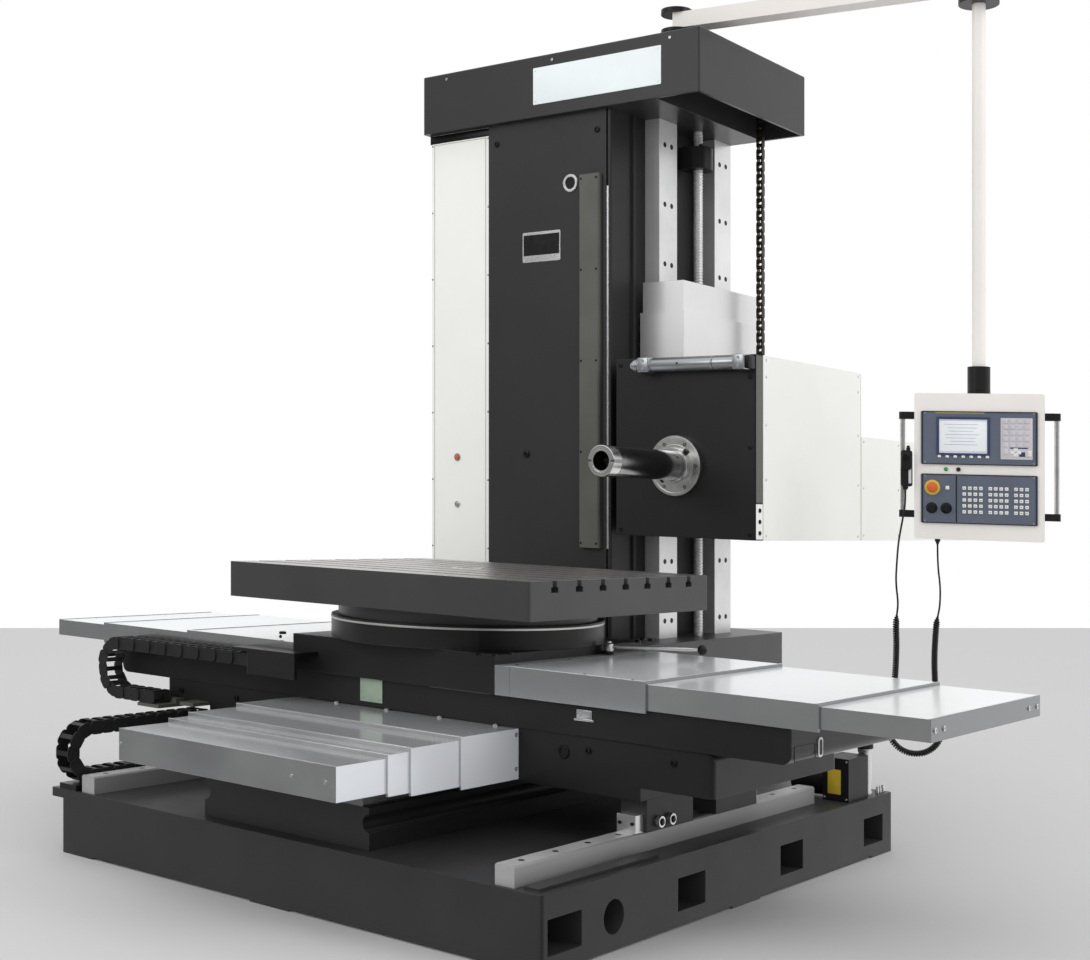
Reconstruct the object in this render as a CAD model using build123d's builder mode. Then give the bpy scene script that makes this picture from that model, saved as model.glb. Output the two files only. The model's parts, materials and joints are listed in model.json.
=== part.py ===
from build123d import *
import os
from math import cos, radians, sin, tan

os.makedirs("parts", exist_ok=True)

# A table-type horizontal boring mill. Millimetres, X along the cross beam, Y along the spindle
# towards the back, Z up. The origin is on the floor under the spindle axis, in the plane of the
# headstock's front face.

# Clearances
slide_gap = 0.3  # between a slide and the way it rests on
turn_gap = 0.4  # round a shaft in its bore
safe_gap = 8.0  # between moving covers and what they pass

# Bed
machine_mid_x = -305.0  # middle of the bed, the cross beam and the covers
bed_half_width = 1020.0
bed_front_y = -1762.0
bed_back_y = 317.0
bed_height = 212.0
bed_corner = 14.0
foot_relief = 8.0
foot_relief_depth = 45.0
foot_length = 170.0
pocket_width = 150.0
pocket_height = 96.0
pocket_level = 97.0
pocket_depth = 130.0
pocket_places = (-1660.0, -1039.0, -434.0, 162.0)
lifting_hole_y = -1437.0
lifting_hole_radius = 48.0
low_ledge_width = 50.0
low_ledge_height = 10.0
low_ledge_length = 560.0
low_ledge_inset = 24.0
lug_reach = 50.0
lug_width = 40.0
lug_height = 30.0

# Raised bed with the ways of the saddle
raised_half_width = 355.0
raised_front_y = -1705.0
raised_height = 124.0
way_width = 110.0
way_height = 30.0
way_spread = 275.0  # from the middle to the middle of each way
way_cove = 26.0

# Outrigger rails on the bed
rail_width = 66.0
rail_height = 58.0
rail_front_y = -1750.0
rail_back_y = -96.0
rail_spread = 890.0

# Saddle and cross beam
saddle_front_y = -1190.0
saddle_back_y = -436.0
saddle_half_width = 1182.0
saddle_height = 166.0
saddle_corner = 22.0
wing_half_width = 940.0  # where the underside steps up outside the rails
left_wing_low_z = 452.0
right_wing_low_z = 405.0
beam_half_length = 1434.0
beam_front_y = -1196.0
beam_back_y = -432.0
beam_height = 104.0
cross_way_width = 130.0
cross_way_height = 30.0
cross_way_spread = 270.0

# Table slide, turntable and table
table_mid_y = -814.0
slide_mid_x = -336.0
slide_half_length = 447.0
slide_half_width = 401.0
slide_top_z = 749.0
slide_skirt_z = 626.0
turntable_radius = 470.0
turntable_height = 76.0
ring_radius = 446.0
ring_height = 43.0
table_length = 1320.0
table_width = 1000.0
table_thickness = 120.0
slot_pitch = 125.0
slot_count = 7
slot_width = 22.0
slot_neck = 20.0
slot_foot_width = 37.0
slot_foot = 17.0
table_bore_radius = 40.0
table_bore_depth = 60.0

# Covers of the ways
sheet = 2.5
cover_step = 8.0
wiper_length = 12.0
front_cover_half = 466.0
front_cover_top = 495.0
front_cover_bottom = 397.0
front_cover_faces = (-1947.0, -1753.0, -1667.0, -1460.0)
front_cover_lengths = (345.0, 240.0, 330.0)
front_cover_rise = 11.0
front_cover_drop = 8.0
side_cover_top = 718.0
side_cover_bottom = 626.0
cover_overhang = 400.0  # past the end of the cross beam
right_cover_setbacks = (860.0, 313.0, 0.0)  # each section's face, from the outermost one's
left_cover_setbacks = (797.0, 297.0, 0.0)
side_cover_length = 792.0
end_cover_length = 560.0

# Column
column_front_y = 66.0
column_back_y = 862.0
column_face_x = -354.0
column_left_x = -975.0
column_top_z = 2779.0
pedestal_front_y = 0.0
pedestal_back_y = 1080.0
pedestal_right_x = -150.0
pedestal_left_x = -1309.0
pedestal_top_z = 690.0
housing_left_x = -1309.0
housing_inset = 12.0
guide_depth = 69.0
guide_spans = ((305.0, 435.0), (728.0, 858.0))
scale_left_x = -496.0
scale_right_x = -398.0
scale_low_z = 1050.0
scale_high_z = 2525.0
scale_thickness = 22.0

# Cap
cap_left_x = -1313.0
cap_right_x = 71.0
cap_front_y = 36.0
cap_height = 245.0
cap_wall = 14.0
cap_recess = 120.0
cap_recess_left_x = -128.0

# Head screw, chain
screw_x = -275.0
screw_y = 581.0
screw_radius = 20.0
screw_bore = 28.0
bearing_low_z = 2618.0
bearing_high_z = 2708.0
bearing_radius = 60.0
chain_x = -78.0
chain_y = 752.0
chain_width = 27.0
chain_link_width = 30.0
chain_foot_z = 1287.0  # the chain runs on into the headstock, so that it reaches the anchor at each height
chain_room = 6.0

# Headstock
head_left_x = column_face_x + guide_depth + slide_gap
head_right_x = 331.0
head_low_z = 1108.0
head_high_z = 1783.0
head_back_y = 847.0
front_plate = 53.0
keeper_depth = 59.0
keeper_width = 42.0
cover_panel = 31.0
tail_left_x = -150.0
tail_back_y = 1934.0
tail_high_z = 1527.0
tail_wall = 12.0
spindle_z = 1375.0
guard_left_x = -344.0
guard_right_x = -137.0
guard_front_y = 255.0
guard_back_y = 878.0
guard_step_z = 1994.0
guard_top_z = 2116.0

# Spindles
flange_radius = 112.5
flange_thickness = 26.0
collar_radius = 67.0
collar_length = 48.0
quill_radius = 95.0
quill_length = 700.0
spindle_radius = 55.0
spindle_nose_y = -496.0
spindle_tail_y = 1240.0
taper_radius = 34.9
taper_end_radius = 20.0
taper_depth = 100.0
face_hole_count = 6
face_hole_radius = 6.8
face_hole_circle = 182.0
face_hole_depth = 22.0

# Work lamp
lamp_radius = 25.0
lamp_z = 1752.0
lamp_left_x = -193.0
lamp_right_x = 268.0
lamp_stand_off = 6.0

# Swing arm and pendant
pivot_x = -200.0
pivot_y = 300.0
arm_reach = 1193.0
arm_angle = 7.9
arm_rise = 89.0  # above the cap
arm_height = 62.0
arm_width = 78.0
pole_radius = 24.0
pole_low_z = 1757.0
coupling_radius = 40.0
elbow_radius = 72.0
elbow_drop = 52.0
pendant_turn = 22.0
pendant_width = 446.0
pendant_depth = 150.0
pendant_low_z = 1135.0
pendant_high_z = 1656.0
handle_radius = 9.0
handle_reach = 42.0
hand_unit_width = 44.0
hand_unit_depth = 48.0
hand_unit_low_z = 1307.0
hand_unit_height = 162.0

# Curly cord between the pendant and the hand unit
cord_radius = 4.0
curl_radius = 12.5
cord_sides = 8  # faces round the tubes of the cord


def block(x, y, z, mode=Mode.ADD):
    """A rectangular block between pairs of X, Y and Z values."""
    with Locations(((x[0] + x[1]) / 2, (y[0] + y[1]) / 2, (z[0] + z[1]) / 2)):
        Box(x[1] - x[0], y[1] - y[0], z[1] - z[0], mode=mode)


def upright(x, y, radius, low, high, mode=Mode.ADD):
    """A cylinder that stands between two heights."""
    with Locations((x, y, (low + high) / 2)):
        Cylinder(radius, high - low, mode=mode)


def lengthwise(radius, front, back, mode=Mode.ADD):
    """A cylinder on the spindle axis between two Y values."""
    with Locations((0, (front + back) / 2, spindle_z)):
        Cylinder(radius, back - front, rotation=(90, 0, 0), mode=mode)


def save(made, name):
    """Labels a finished piece and writes its file."""
    made.part.label = name
    export_step(made.part, f"parts/{name}.step")


# Bed: a low casting with levelling pockets along both sides
bed_left_x = machine_mid_x - bed_half_width
bed_right_x = machine_mid_x + bed_half_width
bed_mid_y = (bed_front_y + bed_back_y) / 2
bed_length = bed_back_y - bed_front_y
with BuildPart() as bed:
    with BuildSketch():
        with Locations((machine_mid_x, bed_mid_y)):
            RectangleRounded(2 * bed_half_width, bed_length, bed_corner)
    extrude(amount=bed_height)
    for side_x, inward in ((bed_left_x, 1), (bed_right_x, -1)):
        for place in pocket_places:
            block(
                sorted((side_x, side_x + inward * pocket_depth)),
                (place - pocket_width / 2, place + pocket_width / 2),
                (pocket_level - pocket_height / 2, pocket_level + pocket_height / 2),
                Mode.SUBTRACT,
            )
        with Locations((side_x + inward * pocket_depth / 2, lifting_hole_y, pocket_level)):
            Cylinder(lifting_hole_radius, pocket_depth, rotation=(0, 90, 0), mode=Mode.SUBTRACT)
        relief_x = sorted((side_x, side_x + inward * foot_relief_depth))
        for relief_y in (
            (bed_front_y + foot_length, bed_mid_y - foot_length / 2),
            (bed_mid_y + foot_length / 2, bed_back_y - foot_length),
        ):
            block(relief_x, relief_y, (0, foot_relief), Mode.SUBTRACT)
    for low_x, high_x in (
        (bed_left_x + foot_length, machine_mid_x - foot_length / 2),
        (machine_mid_x + foot_length / 2, bed_right_x - foot_length),
    ):
        relief_y = (bed_front_y, bed_front_y + foot_relief_depth)
        block((low_x, high_x), relief_y, (0, foot_relief), Mode.SUBTRACT)
    block(
        (bed_right_x - low_ledge_inset - low_ledge_width, bed_right_x - low_ledge_inset),
        (bed_front_y + low_ledge_inset, bed_front_y + low_ledge_inset + low_ledge_length),
        (bed_height, bed_height + low_ledge_height),
    )
    block(
        (bed_left_x - lug_reach, bed_left_x + lug_reach),
        (bed_front_y, bed_front_y + lug_width),
        (bed_height - lug_height, bed_height),
    )
save(bed, "bed")

# Raised bed: carries the ways and the bracket of the front cover
raised_top_z = bed_height + raised_height
way_top_z = raised_top_z + way_height
bracket_half_width = 150.0
bracket_thickness = 40.0
with BuildPart() as raised_bed:
    with BuildSketch(Plane.XZ.offset(-raised_front_y)):
        with Locations((machine_mid_x, bed_height + raised_height / 2)):
            Rectangle(2 * raised_half_width, raised_height)
        for side in (-1, 1):
            with Locations((machine_mid_x + side * raised_half_width, bed_height + raised_height * 0.62)):
                Circle(way_cove, mode=Mode.SUBTRACT)
    extrude(amount=raised_front_y - pedestal_front_y)
    block(
        (machine_mid_x - bracket_half_width, machine_mid_x + bracket_half_width),
        (raised_front_y, raised_front_y + bracket_thickness),
        (raised_top_z, front_cover_top - sheet),
    )
save(raised_bed, "raised_bed")

with BuildPart() as saddle_ways:
    for side in (-1, 1):
        middle = machine_mid_x + side * way_spread
        block(
            (middle - way_width / 2, middle + way_width / 2),
            (raised_front_y, pedestal_front_y),
            (raised_top_z, way_top_z),
        )
save(saddle_ways, "saddle_ways")

rail_top_z = bed_height + rail_height
with BuildPart() as outrigger_rails:
    for side in (-1, 1):
        middle = machine_mid_x + side * rail_spread
        block(
            (middle - rail_width / 2, middle + rail_width / 2),
            (rail_front_y, rail_back_y),
            (bed_height, rail_top_z),
        )
    chamfer(outrigger_rails.edges().filter_by(Axis.Y).group_by(Axis.Z)[-1], 5)
save(outrigger_rails, "outrigger_rails")

# Column base: stands on the bed in front and on the floor behind it
with BuildPart() as column_base:
    with BuildSketch(Plane.YZ.offset(pedestal_left_x)):
        with BuildLine():
            Polyline(
                (pedestal_front_y, bed_height),
                (bed_back_y, bed_height),
                (bed_back_y, 0),
                (pedestal_back_y, 0),
                (pedestal_back_y, pedestal_top_z),
                (pedestal_front_y, pedestal_top_z),
                close=True,
            )
        make_face()
    extrude(amount=pedestal_right_x - pedestal_left_x)
    fillet(column_base.edges().filter_by(Axis.Z).group_by(Axis.X)[-1].sort_by(Axis.Y)[-1], 20)
save(column_base, "column_base")

# Column: a closed box casting whose right side carries the guides of the headstock
column_corner = 16.0
face_groove = 18.0
rib_depth = 10.0
rib_front_y = 208.0
rib_width = 16.0
with BuildPart() as column:
    with BuildSketch(Plane.XY.offset(pedestal_top_z)):
        with Locations(
            ((column_left_x + column_face_x) / 2, (column_front_y + column_back_y) / 2)
        ):
            Rectangle(column_face_x - column_left_x, column_back_y - column_front_y)
        with Locations((column_face_x - face_groove, column_front_y)):
            Rectangle(face_groove / 2, face_groove, mode=Mode.SUBTRACT)
        with Locations((column_face_x, (guide_spans[0][1] + guide_spans[1][0]) / 2)):
            Rectangle(face_groove * 2, guide_spans[1][0] - guide_spans[0][1] - 60, mode=Mode.SUBTRACT)
    extrude(amount=column_top_z - pedestal_top_z)
    fillet(column.edges().filter_by(Axis.Z).group_by(Axis.X)[-1].sort_by(Axis.Y)[0], column_corner / 2)
    block(
        (column_face_x, column_face_x + rib_depth),
        (rib_front_y, rib_front_y + rib_width),
        (pedestal_top_z, column_top_z),
    )
save(column, "column")

with BuildPart() as column_guides:
    for span in guide_spans:
        block((column_face_x, column_face_x + guide_depth), span, (pedestal_top_z, column_top_z))
save(column_guides, "column_guides")

with BuildPart() as counterweight_housing:
    with BuildSketch(Plane.XY.offset(pedestal_top_z)):
        with Locations(
            (
                (housing_left_x + column_left_x) / 2,
                (column_front_y + housing_inset + column_back_y) / 2,
            )
        ):
            Rectangle(column_left_x - housing_left_x, column_back_y - column_front_y - housing_inset)
    extrude(amount=column_top_z - pedestal_top_z)
    fillet(counterweight_housing.edges().filter_by(Axis.Z).group_by(Axis.X)[0], column_corner)
save(counterweight_housing, "counterweight_housing")

with BuildPart() as scale_guard:
    with BuildSketch(Plane.XY.offset(scale_low_z)):
        with Locations(((scale_left_x + scale_right_x) / 2, column_front_y - scale_thickness / 2)):
            Rectangle(scale_right_x - scale_left_x, scale_thickness)
    extrude(amount=scale_high_z - scale_low_z)
    chamfer(scale_guard.edges().filter_by(Axis.Z).group_by(Axis.Y)[0], 6)
save(scale_guard, "scale_guard")

strip_x = (-372.0, -364.0)
strip_thickness = 3.0
strip_top_z = 2473.0
with BuildPart() as scale_strip:
    block(strip_x, (column_front_y - strip_thickness, column_front_y), (scale_low_z, strip_top_z))
save(scale_strip, "scale_strip")

# Cap over the column: a hood whose right part hangs over the guides and is open below
cap_top_z = column_top_z + cap_height
with BuildPart() as column_cap:
    with BuildSketch(Plane.XY.offset(column_top_z)):
        with Locations(((cap_left_x + cap_right_x) / 2, (cap_front_y + column_back_y) / 2)):
            RectangleRounded(cap_right_x - cap_left_x, column_back_y - cap_front_y, column_corner / 2)
    extrude(amount=cap_height)
    block(
        (cap_recess_left_x, cap_right_x - cap_wall),
        (cap_front_y + cap_wall, column_back_y - cap_wall),
        (column_top_z, column_top_z + cap_recess),
        Mode.SUBTRACT,
    )
    chamfer(column_cap.faces().sort_by(Axis.Z)[-1].edges(), 4)
save(column_cap, "column_cap")

# Screw of the headstock with its upper bearing
screw_foot_z = pedestal_top_z
with BuildPart() as head_screw:
    upright(screw_x, screw_y, screw_radius, screw_foot_z, column_top_z)
save(head_screw, "head_screw")

with BuildPart() as screw_bearing:
    with BuildSketch(Plane.XY.offset(bearing_low_z)):
        with Locations((screw_x, screw_y)):
            Circle(bearing_radius)
        with Locations(((column_face_x + screw_x) / 2, screw_y)):
            Rectangle(screw_x - column_face_x, 2 * bearing_radius)
        with Locations((screw_x, screw_y)):
            Circle(screw_radius + turn_gap, mode=Mode.SUBTRACT)
        with Locations((column_face_x, screw_y)):
            Rectangle(2 * face_groove, 3 * bearing_radius, mode=Mode.SUBTRACT)
    extrude(amount=bearing_high_z - bearing_low_z)
save(screw_bearing, "screw_bearing")

# Saddle: a wide casting across the bed with a wing over each outrigger rail
saddle_low_z = way_top_z + slide_gap
saddle_top_z = saddle_low_z + saddle_height
guide_strip_depth = 24.0
shoe_length = 250.0
shoe_setback = 40.0
shoe_width = 92.0
with BuildPart() as saddle:
    with BuildSketch(Plane.XZ.offset(-saddle_front_y)):
        with Locations((machine_mid_x, (saddle_low_z + saddle_top_z) / 2)):
            Rectangle(2 * wing_half_width, saddle_height)
        for side, low_z in ((-1, left_wing_low_z), (1, right_wing_low_z)):
            with Locations((machine_mid_x + side * saddle_half_width / 2, (low_z + saddle_top_z) / 2)):
                Rectangle(saddle_half_width, saddle_top_z - low_z)
    extrude(amount=saddle_front_y - saddle_back_y)
    top_edges = saddle.edges().filter_by(Axis.Y).group_by(Axis.Z)[-1]
    end_edges = saddle.edges().filter_by(Axis.Z).group_by(Axis.X)
    fillet(top_edges + end_edges[0] + end_edges[-1], saddle_corner)
    for side in (-1, 1):
        inner = machine_mid_x + side * (way_spread - way_width / 2 - slide_gap)
        block(
            sorted((inner, inner - side * guide_strip_depth)),
            (saddle_front_y + 30, saddle_back_y - 30),
            (raised_top_z + slide_gap, saddle_low_z),
        )
save(saddle, "saddle")

with BuildPart() as outrigger_shoes:
    for side in (-1, 1):
        middle = machine_mid_x + side * rail_spread
        for front_y in (saddle_front_y + shoe_setback, saddle_back_y - 2 * shoe_setback - shoe_length):
            block(
                (middle - shoe_width / 2, middle + shoe_width / 2),
                (front_y, front_y + shoe_length),
                (rail_top_z + slide_gap, saddle_low_z),
            )
save(outrigger_shoes, "outrigger_shoes")

# A wiper block ahead of each front shoe and a clamping cylinder behind each back one
wiper_block = (66.0, 52.0)  # width and height
roller_radius = 17.0
roller_reach = 14.0
clamp_radius = 21.0
clamp_rod_radius = 8.0
clamp_top_z = rail_top_z + 76.0
clamp_y = saddle_back_y - shoe_setback
with BuildPart() as rail_fittings:
    for side in (-1, 1):
        middle = machine_mid_x + side * rail_spread
        block(
            (middle - wiper_block[0] / 2, middle + wiper_block[0] / 2),
            (saddle_front_y, saddle_front_y + shoe_setback),
            (rail_top_z + slide_gap, rail_top_z + slide_gap + wiper_block[1]),
        )
        for roller_y in (saddle_front_y + 2.5 * shoe_setback, saddle_front_y + 4 * shoe_setback):
            with Locations(
                (middle + (shoe_width + roller_reach) / 2, roller_y, rail_top_z + 1.5 * roller_radius)
            ):
                Cylinder(roller_radius, roller_reach, rotation=(0, 90, 0))
        upright(middle, clamp_y, clamp_radius, rail_top_z + slide_gap, clamp_top_z)
        upright(middle, clamp_y, clamp_rod_radius, clamp_top_z, saddle_low_z)
save(rail_fittings, "rail_fittings")

beam_low_z = saddle_top_z
beam_top_z = beam_low_z + beam_height
cross_way_top_z = beam_top_z + cross_way_height
beam_mid_y = (beam_front_y + beam_back_y) / 2
with BuildPart() as cross_beam:
    with BuildSketch(Plane.YZ.offset(machine_mid_x - beam_half_length)):
        with Locations((beam_mid_y, beam_low_z + beam_height / 2)):
            Rectangle(beam_back_y - beam_front_y, beam_height)
    extrude(amount=2 * beam_half_length)
    fillet(cross_beam.edges().filter_by(Axis.Y).group_by(Axis.Z)[0], 30)
save(cross_beam, "cross_beam")

with BuildPart() as cross_ways:
    for side in (-1, 1):
        middle = table_mid_y + side * cross_way_spread
        block(
            (machine_mid_x - beam_half_length, machine_mid_x + beam_half_length),
            (middle - cross_way_width / 2, middle + cross_way_width / 2),
            (beam_top_z, cross_way_top_z),
        )
save(cross_ways, "cross_ways")

# Table slide: an inverted channel over the cross beam, with the turntable base on top
slide_left_x = slide_mid_x - slide_half_length
slide_right_x = slide_mid_x + slide_half_length
slide_low_z = cross_way_top_z + slide_gap
skirt_thickness = slide_half_width - (table_mid_y - beam_front_y) - safe_gap
lever_x = slide_right_x + 24.0
lever_y = -641.0
lever_z = 746.0
lever_lug_thickness = 12.0
lever_lug_radius = 20.0
with BuildPart() as table_slide:
    block(
        (slide_left_x, slide_right_x),
        (table_mid_y - slide_half_width, table_mid_y + slide_half_width),
        (slide_low_z, slide_top_z),
    )
    for side in (-1, 1):
        outer = table_mid_y + side * slide_half_width
        block(
            (slide_left_x, slide_right_x),
            sorted((outer, outer - side * skirt_thickness)),
            (slide_skirt_z, slide_low_z),
        )
    upright(slide_mid_x, table_mid_y, turntable_radius, slide_top_z, slide_top_z + turntable_height)
    block(
        (slide_right_x, lever_x),
        (lever_y - lever_lug_radius, lever_y + lever_lug_radius),
        (side_cover_top + slide_gap, side_cover_top + slide_gap + lever_lug_thickness),
    )
    upright(
        lever_x,
        lever_y,
        lever_lug_radius,
        side_cover_top + slide_gap,
        side_cover_top + slide_gap + lever_lug_thickness,
    )
save(table_slide, "table_slide")

# Clamping lever of the turntable
lever_angle = 30.0
lever_length = 300.0
lever_rod_radius = 7.0
lever_ball_radius = 17.0
lever_ball_sides = 12  # sides of the polygon that is turned into the ball
lever_hub_radius = 16.0
lever_foot_z = side_cover_top + slide_gap + lever_lug_thickness + slide_gap
lever_way = Vector(cos(radians(lever_angle)), sin(radians(lever_angle)), 0)
with BuildPart() as clamp_lever:
    upright(lever_x, lever_y, lever_hub_radius, lever_foot_z, lever_z + lever_rod_radius + 6)
    with BuildSketch(Plane(origin=(lever_x, lever_y, lever_z), z_dir=lever_way)):
        Circle(lever_rod_radius)
    extrude(amount=lever_length)
    lever_end = Vector(lever_x, lever_y, lever_z) + lever_way * (lever_length + lever_ball_radius * 0.8)
    with BuildSketch(Plane(origin=lever_end, x_dir=lever_way, z_dir=lever_way.cross(Vector(0, 0, 1)))) as half:
        RegularPolygon(lever_ball_radius, lever_ball_sides)
        with Locations((0, -lever_ball_radius)):
            Rectangle(3 * lever_ball_radius, 2 * lever_ball_radius, mode=Mode.SUBTRACT)
    revolve(half.sketch, axis=Axis(lever_end, lever_way))
save(clamp_lever, "clamp_lever")

# Rotary table with its T-slots along X and a centre bore
ring_low_z = slide_top_z + turntable_height + slide_gap
table_low_z = ring_low_z + ring_height
table_top_z = table_low_z + table_thickness
with BuildPart() as rotary_table:
    with BuildSketch(Plane.XY.offset(table_low_z)):
        with Locations((slide_mid_x, table_mid_y)):
            RectangleRounded(table_length, table_width, 10)
    extrude(amount=table_thickness)
    with BuildSketch(Plane.YZ.offset(slide_mid_x - table_length / 2)):
        for number in range(slot_count):
            slot_y = table_mid_y + (number - (slot_count - 1) / 2) * slot_pitch
            with Locations((slot_y, table_top_z - slot_neck / 2)):
                Rectangle(slot_width, slot_neck)
            with Locations((slot_y, table_top_z - slot_neck - slot_foot / 2)):
                Rectangle(slot_foot_width, slot_foot)
    extrude(amount=table_length, mode=Mode.SUBTRACT)
    bore_foot_z = table_top_z - table_bore_depth
    upright(slide_mid_x, table_mid_y, table_bore_radius, bore_foot_z, table_top_z, Mode.SUBTRACT)
    upright(slide_mid_x, table_mid_y, ring_radius, ring_low_z, table_low_z)
save(rotary_table, "rotary_table")


# Telescopic covers in front of the saddle: each section slides over the one before it
def front_cover(number, back_y):
    """Section number counted from the front, ending at back_y; the first has an end plate."""
    half = front_cover_half + number * cover_step
    top = front_cover_top + number * front_cover_rise
    bottom = front_cover_bottom - number * front_cover_drop
    face_y = front_cover_faces[number]
    with BuildPart() as made:
        with BuildSketch(Plane.XZ.offset(-face_y)):
            with Locations((machine_mid_x, (top + bottom) / 2)):
                Rectangle(2 * half, top - bottom)
            with Locations((machine_mid_x, (top - sheet + bottom - sheet) / 2)):
                Rectangle(2 * (half - sheet), top - bottom, mode=Mode.SUBTRACT)
        extrude(amount=face_y - back_y)
        if number == 0:
            block(
                (machine_mid_x - half, machine_mid_x + half),
                (face_y, face_y + sheet),
                (bottom, top),
            )
        else:
            rim_top = top - front_cover_rise + slide_gap
            rim_half = half - cover_step + slide_gap
            with BuildSketch(Plane.XZ.offset(-face_y)):
                with Locations((machine_mid_x, (top + bottom) / 2)):
                    Rectangle(2 * half, top - bottom)
                with Locations((machine_mid_x, (rim_top + bottom - sheet) / 2)):
                    Rectangle(2 * rim_half, rim_top - bottom + sheet, mode=Mode.SUBTRACT)
            extrude(amount=-wiper_length)
    return made


for number, length in enumerate(front_cover_lengths):
    save(front_cover(number, front_cover_faces[number] + length), f"front_cover_{number + 1}")
save(front_cover(3, saddle_front_y), "front_cover_4")


# Telescopic covers of the cross beam: the widest section is fixed to the table slide
def channel(number, face_x, inner_x, thickness=sheet):
    """Section number counted from the table slide, open below, from its outer face to inner_x."""
    half = slide_half_width - number * cover_step
    top = side_cover_top - number * cover_step
    bottom = side_cover_bottom + number * cover_step
    with BuildSketch(Plane.YZ.offset(face_x)) as profile:
        with Locations((table_mid_y, (top + bottom) / 2)):
            Rectangle(2 * half, top - bottom)
        with Locations((table_mid_y, (top + bottom) / 2 - thickness)):
            Rectangle(2 * (half - thickness), top - bottom, mode=Mode.SUBTRACT)
    extrude(profile.sketch, amount=inner_x - face_x)


def side_cover(number, face_x, inner_x):
    """A sliding section; the wiper at its outer face rests on the section that it covers."""
    channel(number, face_x, inner_x)
    inward = 1 if inner_x > face_x else -1
    channel(number, face_x, face_x + inward * wiper_length, cover_step - slide_gap)


def end_cover(face_x, inward):
    """The outermost section: it rests on the cross ways and is closed by an end plate."""
    half = slide_half_width - 2 * cover_step
    top = side_cover_top - 2 * cover_step
    beam_end_x = machine_mid_x - inward * beam_half_length
    channel(2, face_x, face_x + inward * end_cover_length)
    block(
        sorted((face_x, face_x + inward * sheet)),
        (table_mid_y - half, table_mid_y + half),
        (side_cover_bottom + 2 * cover_step, top),
    )
    block(
        sorted((beam_end_x, beam_end_x + inward * seat_length)),
        (table_mid_y - half, table_mid_y + half),
        (cross_way_top_z, top),
    )


seat_length = 60.0
right_end_x = machine_mid_x + beam_half_length + cover_overhang
left_end_x = machine_mid_x - beam_half_length - cover_overhang
right_cover_faces = [right_end_x - setback for setback in right_cover_setbacks]
left_cover_faces = [left_end_x + setback for setback in left_cover_setbacks]
with BuildPart() as slide_covers:
    side_cover(0, right_cover_faces[0], slide_right_x)
    side_cover(0, left_cover_faces[0], slide_left_x)
save(slide_covers, "slide_covers")

with BuildPart() as right_cover:
    side_cover(1, right_cover_faces[1], right_cover_faces[1] - side_cover_length)
save(right_cover, "right_cover")

with BuildPart() as left_cover:
    side_cover(1, left_cover_faces[1], left_cover_faces[1] + side_cover_length)
save(left_cover, "left_cover")

with BuildPart() as end_covers:
    end_cover(right_cover_faces[2], -1)
    end_cover(left_cover_faces[2], 1)
save(end_covers, "end_covers")


# Cable chains: a fixed loop with an upper run, a bend and a lower run
chain_height = 48.0
x_chain_bend = 115.0  # outer radius
x_chain_nose = -1745.0
x_chain_low_z = 447.0
x_chain_front_y = -1306.0
x_chain_back_y = -1226.0
x_chain_upper_end = -905.0
x_chain_lower_end = -1420.0
chain_seat = 70.0
z_chain_bend = 105.0
z_chain_nose = -1790.0
z_chain_low_z = 232.0
z_chain_left_x = -1320.0
z_chain_right_x = -1247.0
z_chain_upper_end = -1196.0
z_chain_lower_end = -1380.0


def chain_loop(plane, nose, low, bend, upper_end, lower_end, width):
    """A cable chain seen from the side: plane's x runs from the nose to the two ends."""
    inner = bend - chain_height
    centre = (nose + bend, low + bend)
    with BuildPart() as made:
        with BuildSketch(plane):
            with Locations(centre):
                Circle(bend)
            with Locations((centre[0] + bend / 2 + 1, centre[1])):
                Rectangle(bend + 2, 2 * bend + 2, mode=Mode.SUBTRACT)
            with Locations(((centre[0] + upper_end) / 2, low + 2 * bend - chain_height / 2)):
                Rectangle(upper_end - centre[0], chain_height)
            with Locations(((centre[0] + lower_end) / 2, low + chain_height / 2)):
                Rectangle(lower_end - centre[0], chain_height)
            with Locations(centre):
                Circle(inner, mode=Mode.SUBTRACT)
        extrude(amount=width)
    return made


x_chain_plane = Plane(origin=(0, x_chain_back_y, 0), x_dir=(1, 0, 0), z_dir=(0, -1, 0))
save(
    chain_loop(
        x_chain_plane,
        x_chain_nose,
        x_chain_low_z,
        x_chain_bend,
        x_chain_upper_end,
        x_chain_lower_end,
        x_chain_back_y - x_chain_front_y,
    ),
    "cross_cable_chain",
)
z_chain_plane = Plane(origin=(z_chain_left_x, 0, 0), x_dir=(0, 1, 0), z_dir=(1, 0, 0))
save(
    chain_loop(
        z_chain_plane,
        z_chain_nose,
        z_chain_low_z,
        z_chain_bend,
        z_chain_upper_end,
        z_chain_lower_end,
        z_chain_right_x - z_chain_left_x,
    ),
    "saddle_cable_chain",
)

# Seats of the cable chains: a foot on the saddle, a tray on the bed, an arm over each upper run
foot_plate = 12.0
foot_overlap = 12.0
with BuildPart() as saddle_brackets:
    block(
        (x_chain_lower_end - 90, x_chain_lower_end + 30),
        (x_chain_front_y, saddle_front_y),
        (x_chain_low_z - foot_plate, x_chain_low_z),
    )
    block(
        (x_chain_lower_end - 90, x_chain_lower_end + 30),
        (x_chain_back_y, saddle_front_y),
        (x_chain_low_z, left_wing_low_z + foot_overlap),
    )
    block(
        (z_chain_left_x, z_chain_right_x),
        (z_chain_upper_end - chain_seat, saddle_front_y),
        (left_wing_low_z, left_wing_low_z + foot_plate),
    )
save(saddle_brackets, "saddle_brackets")

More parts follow.
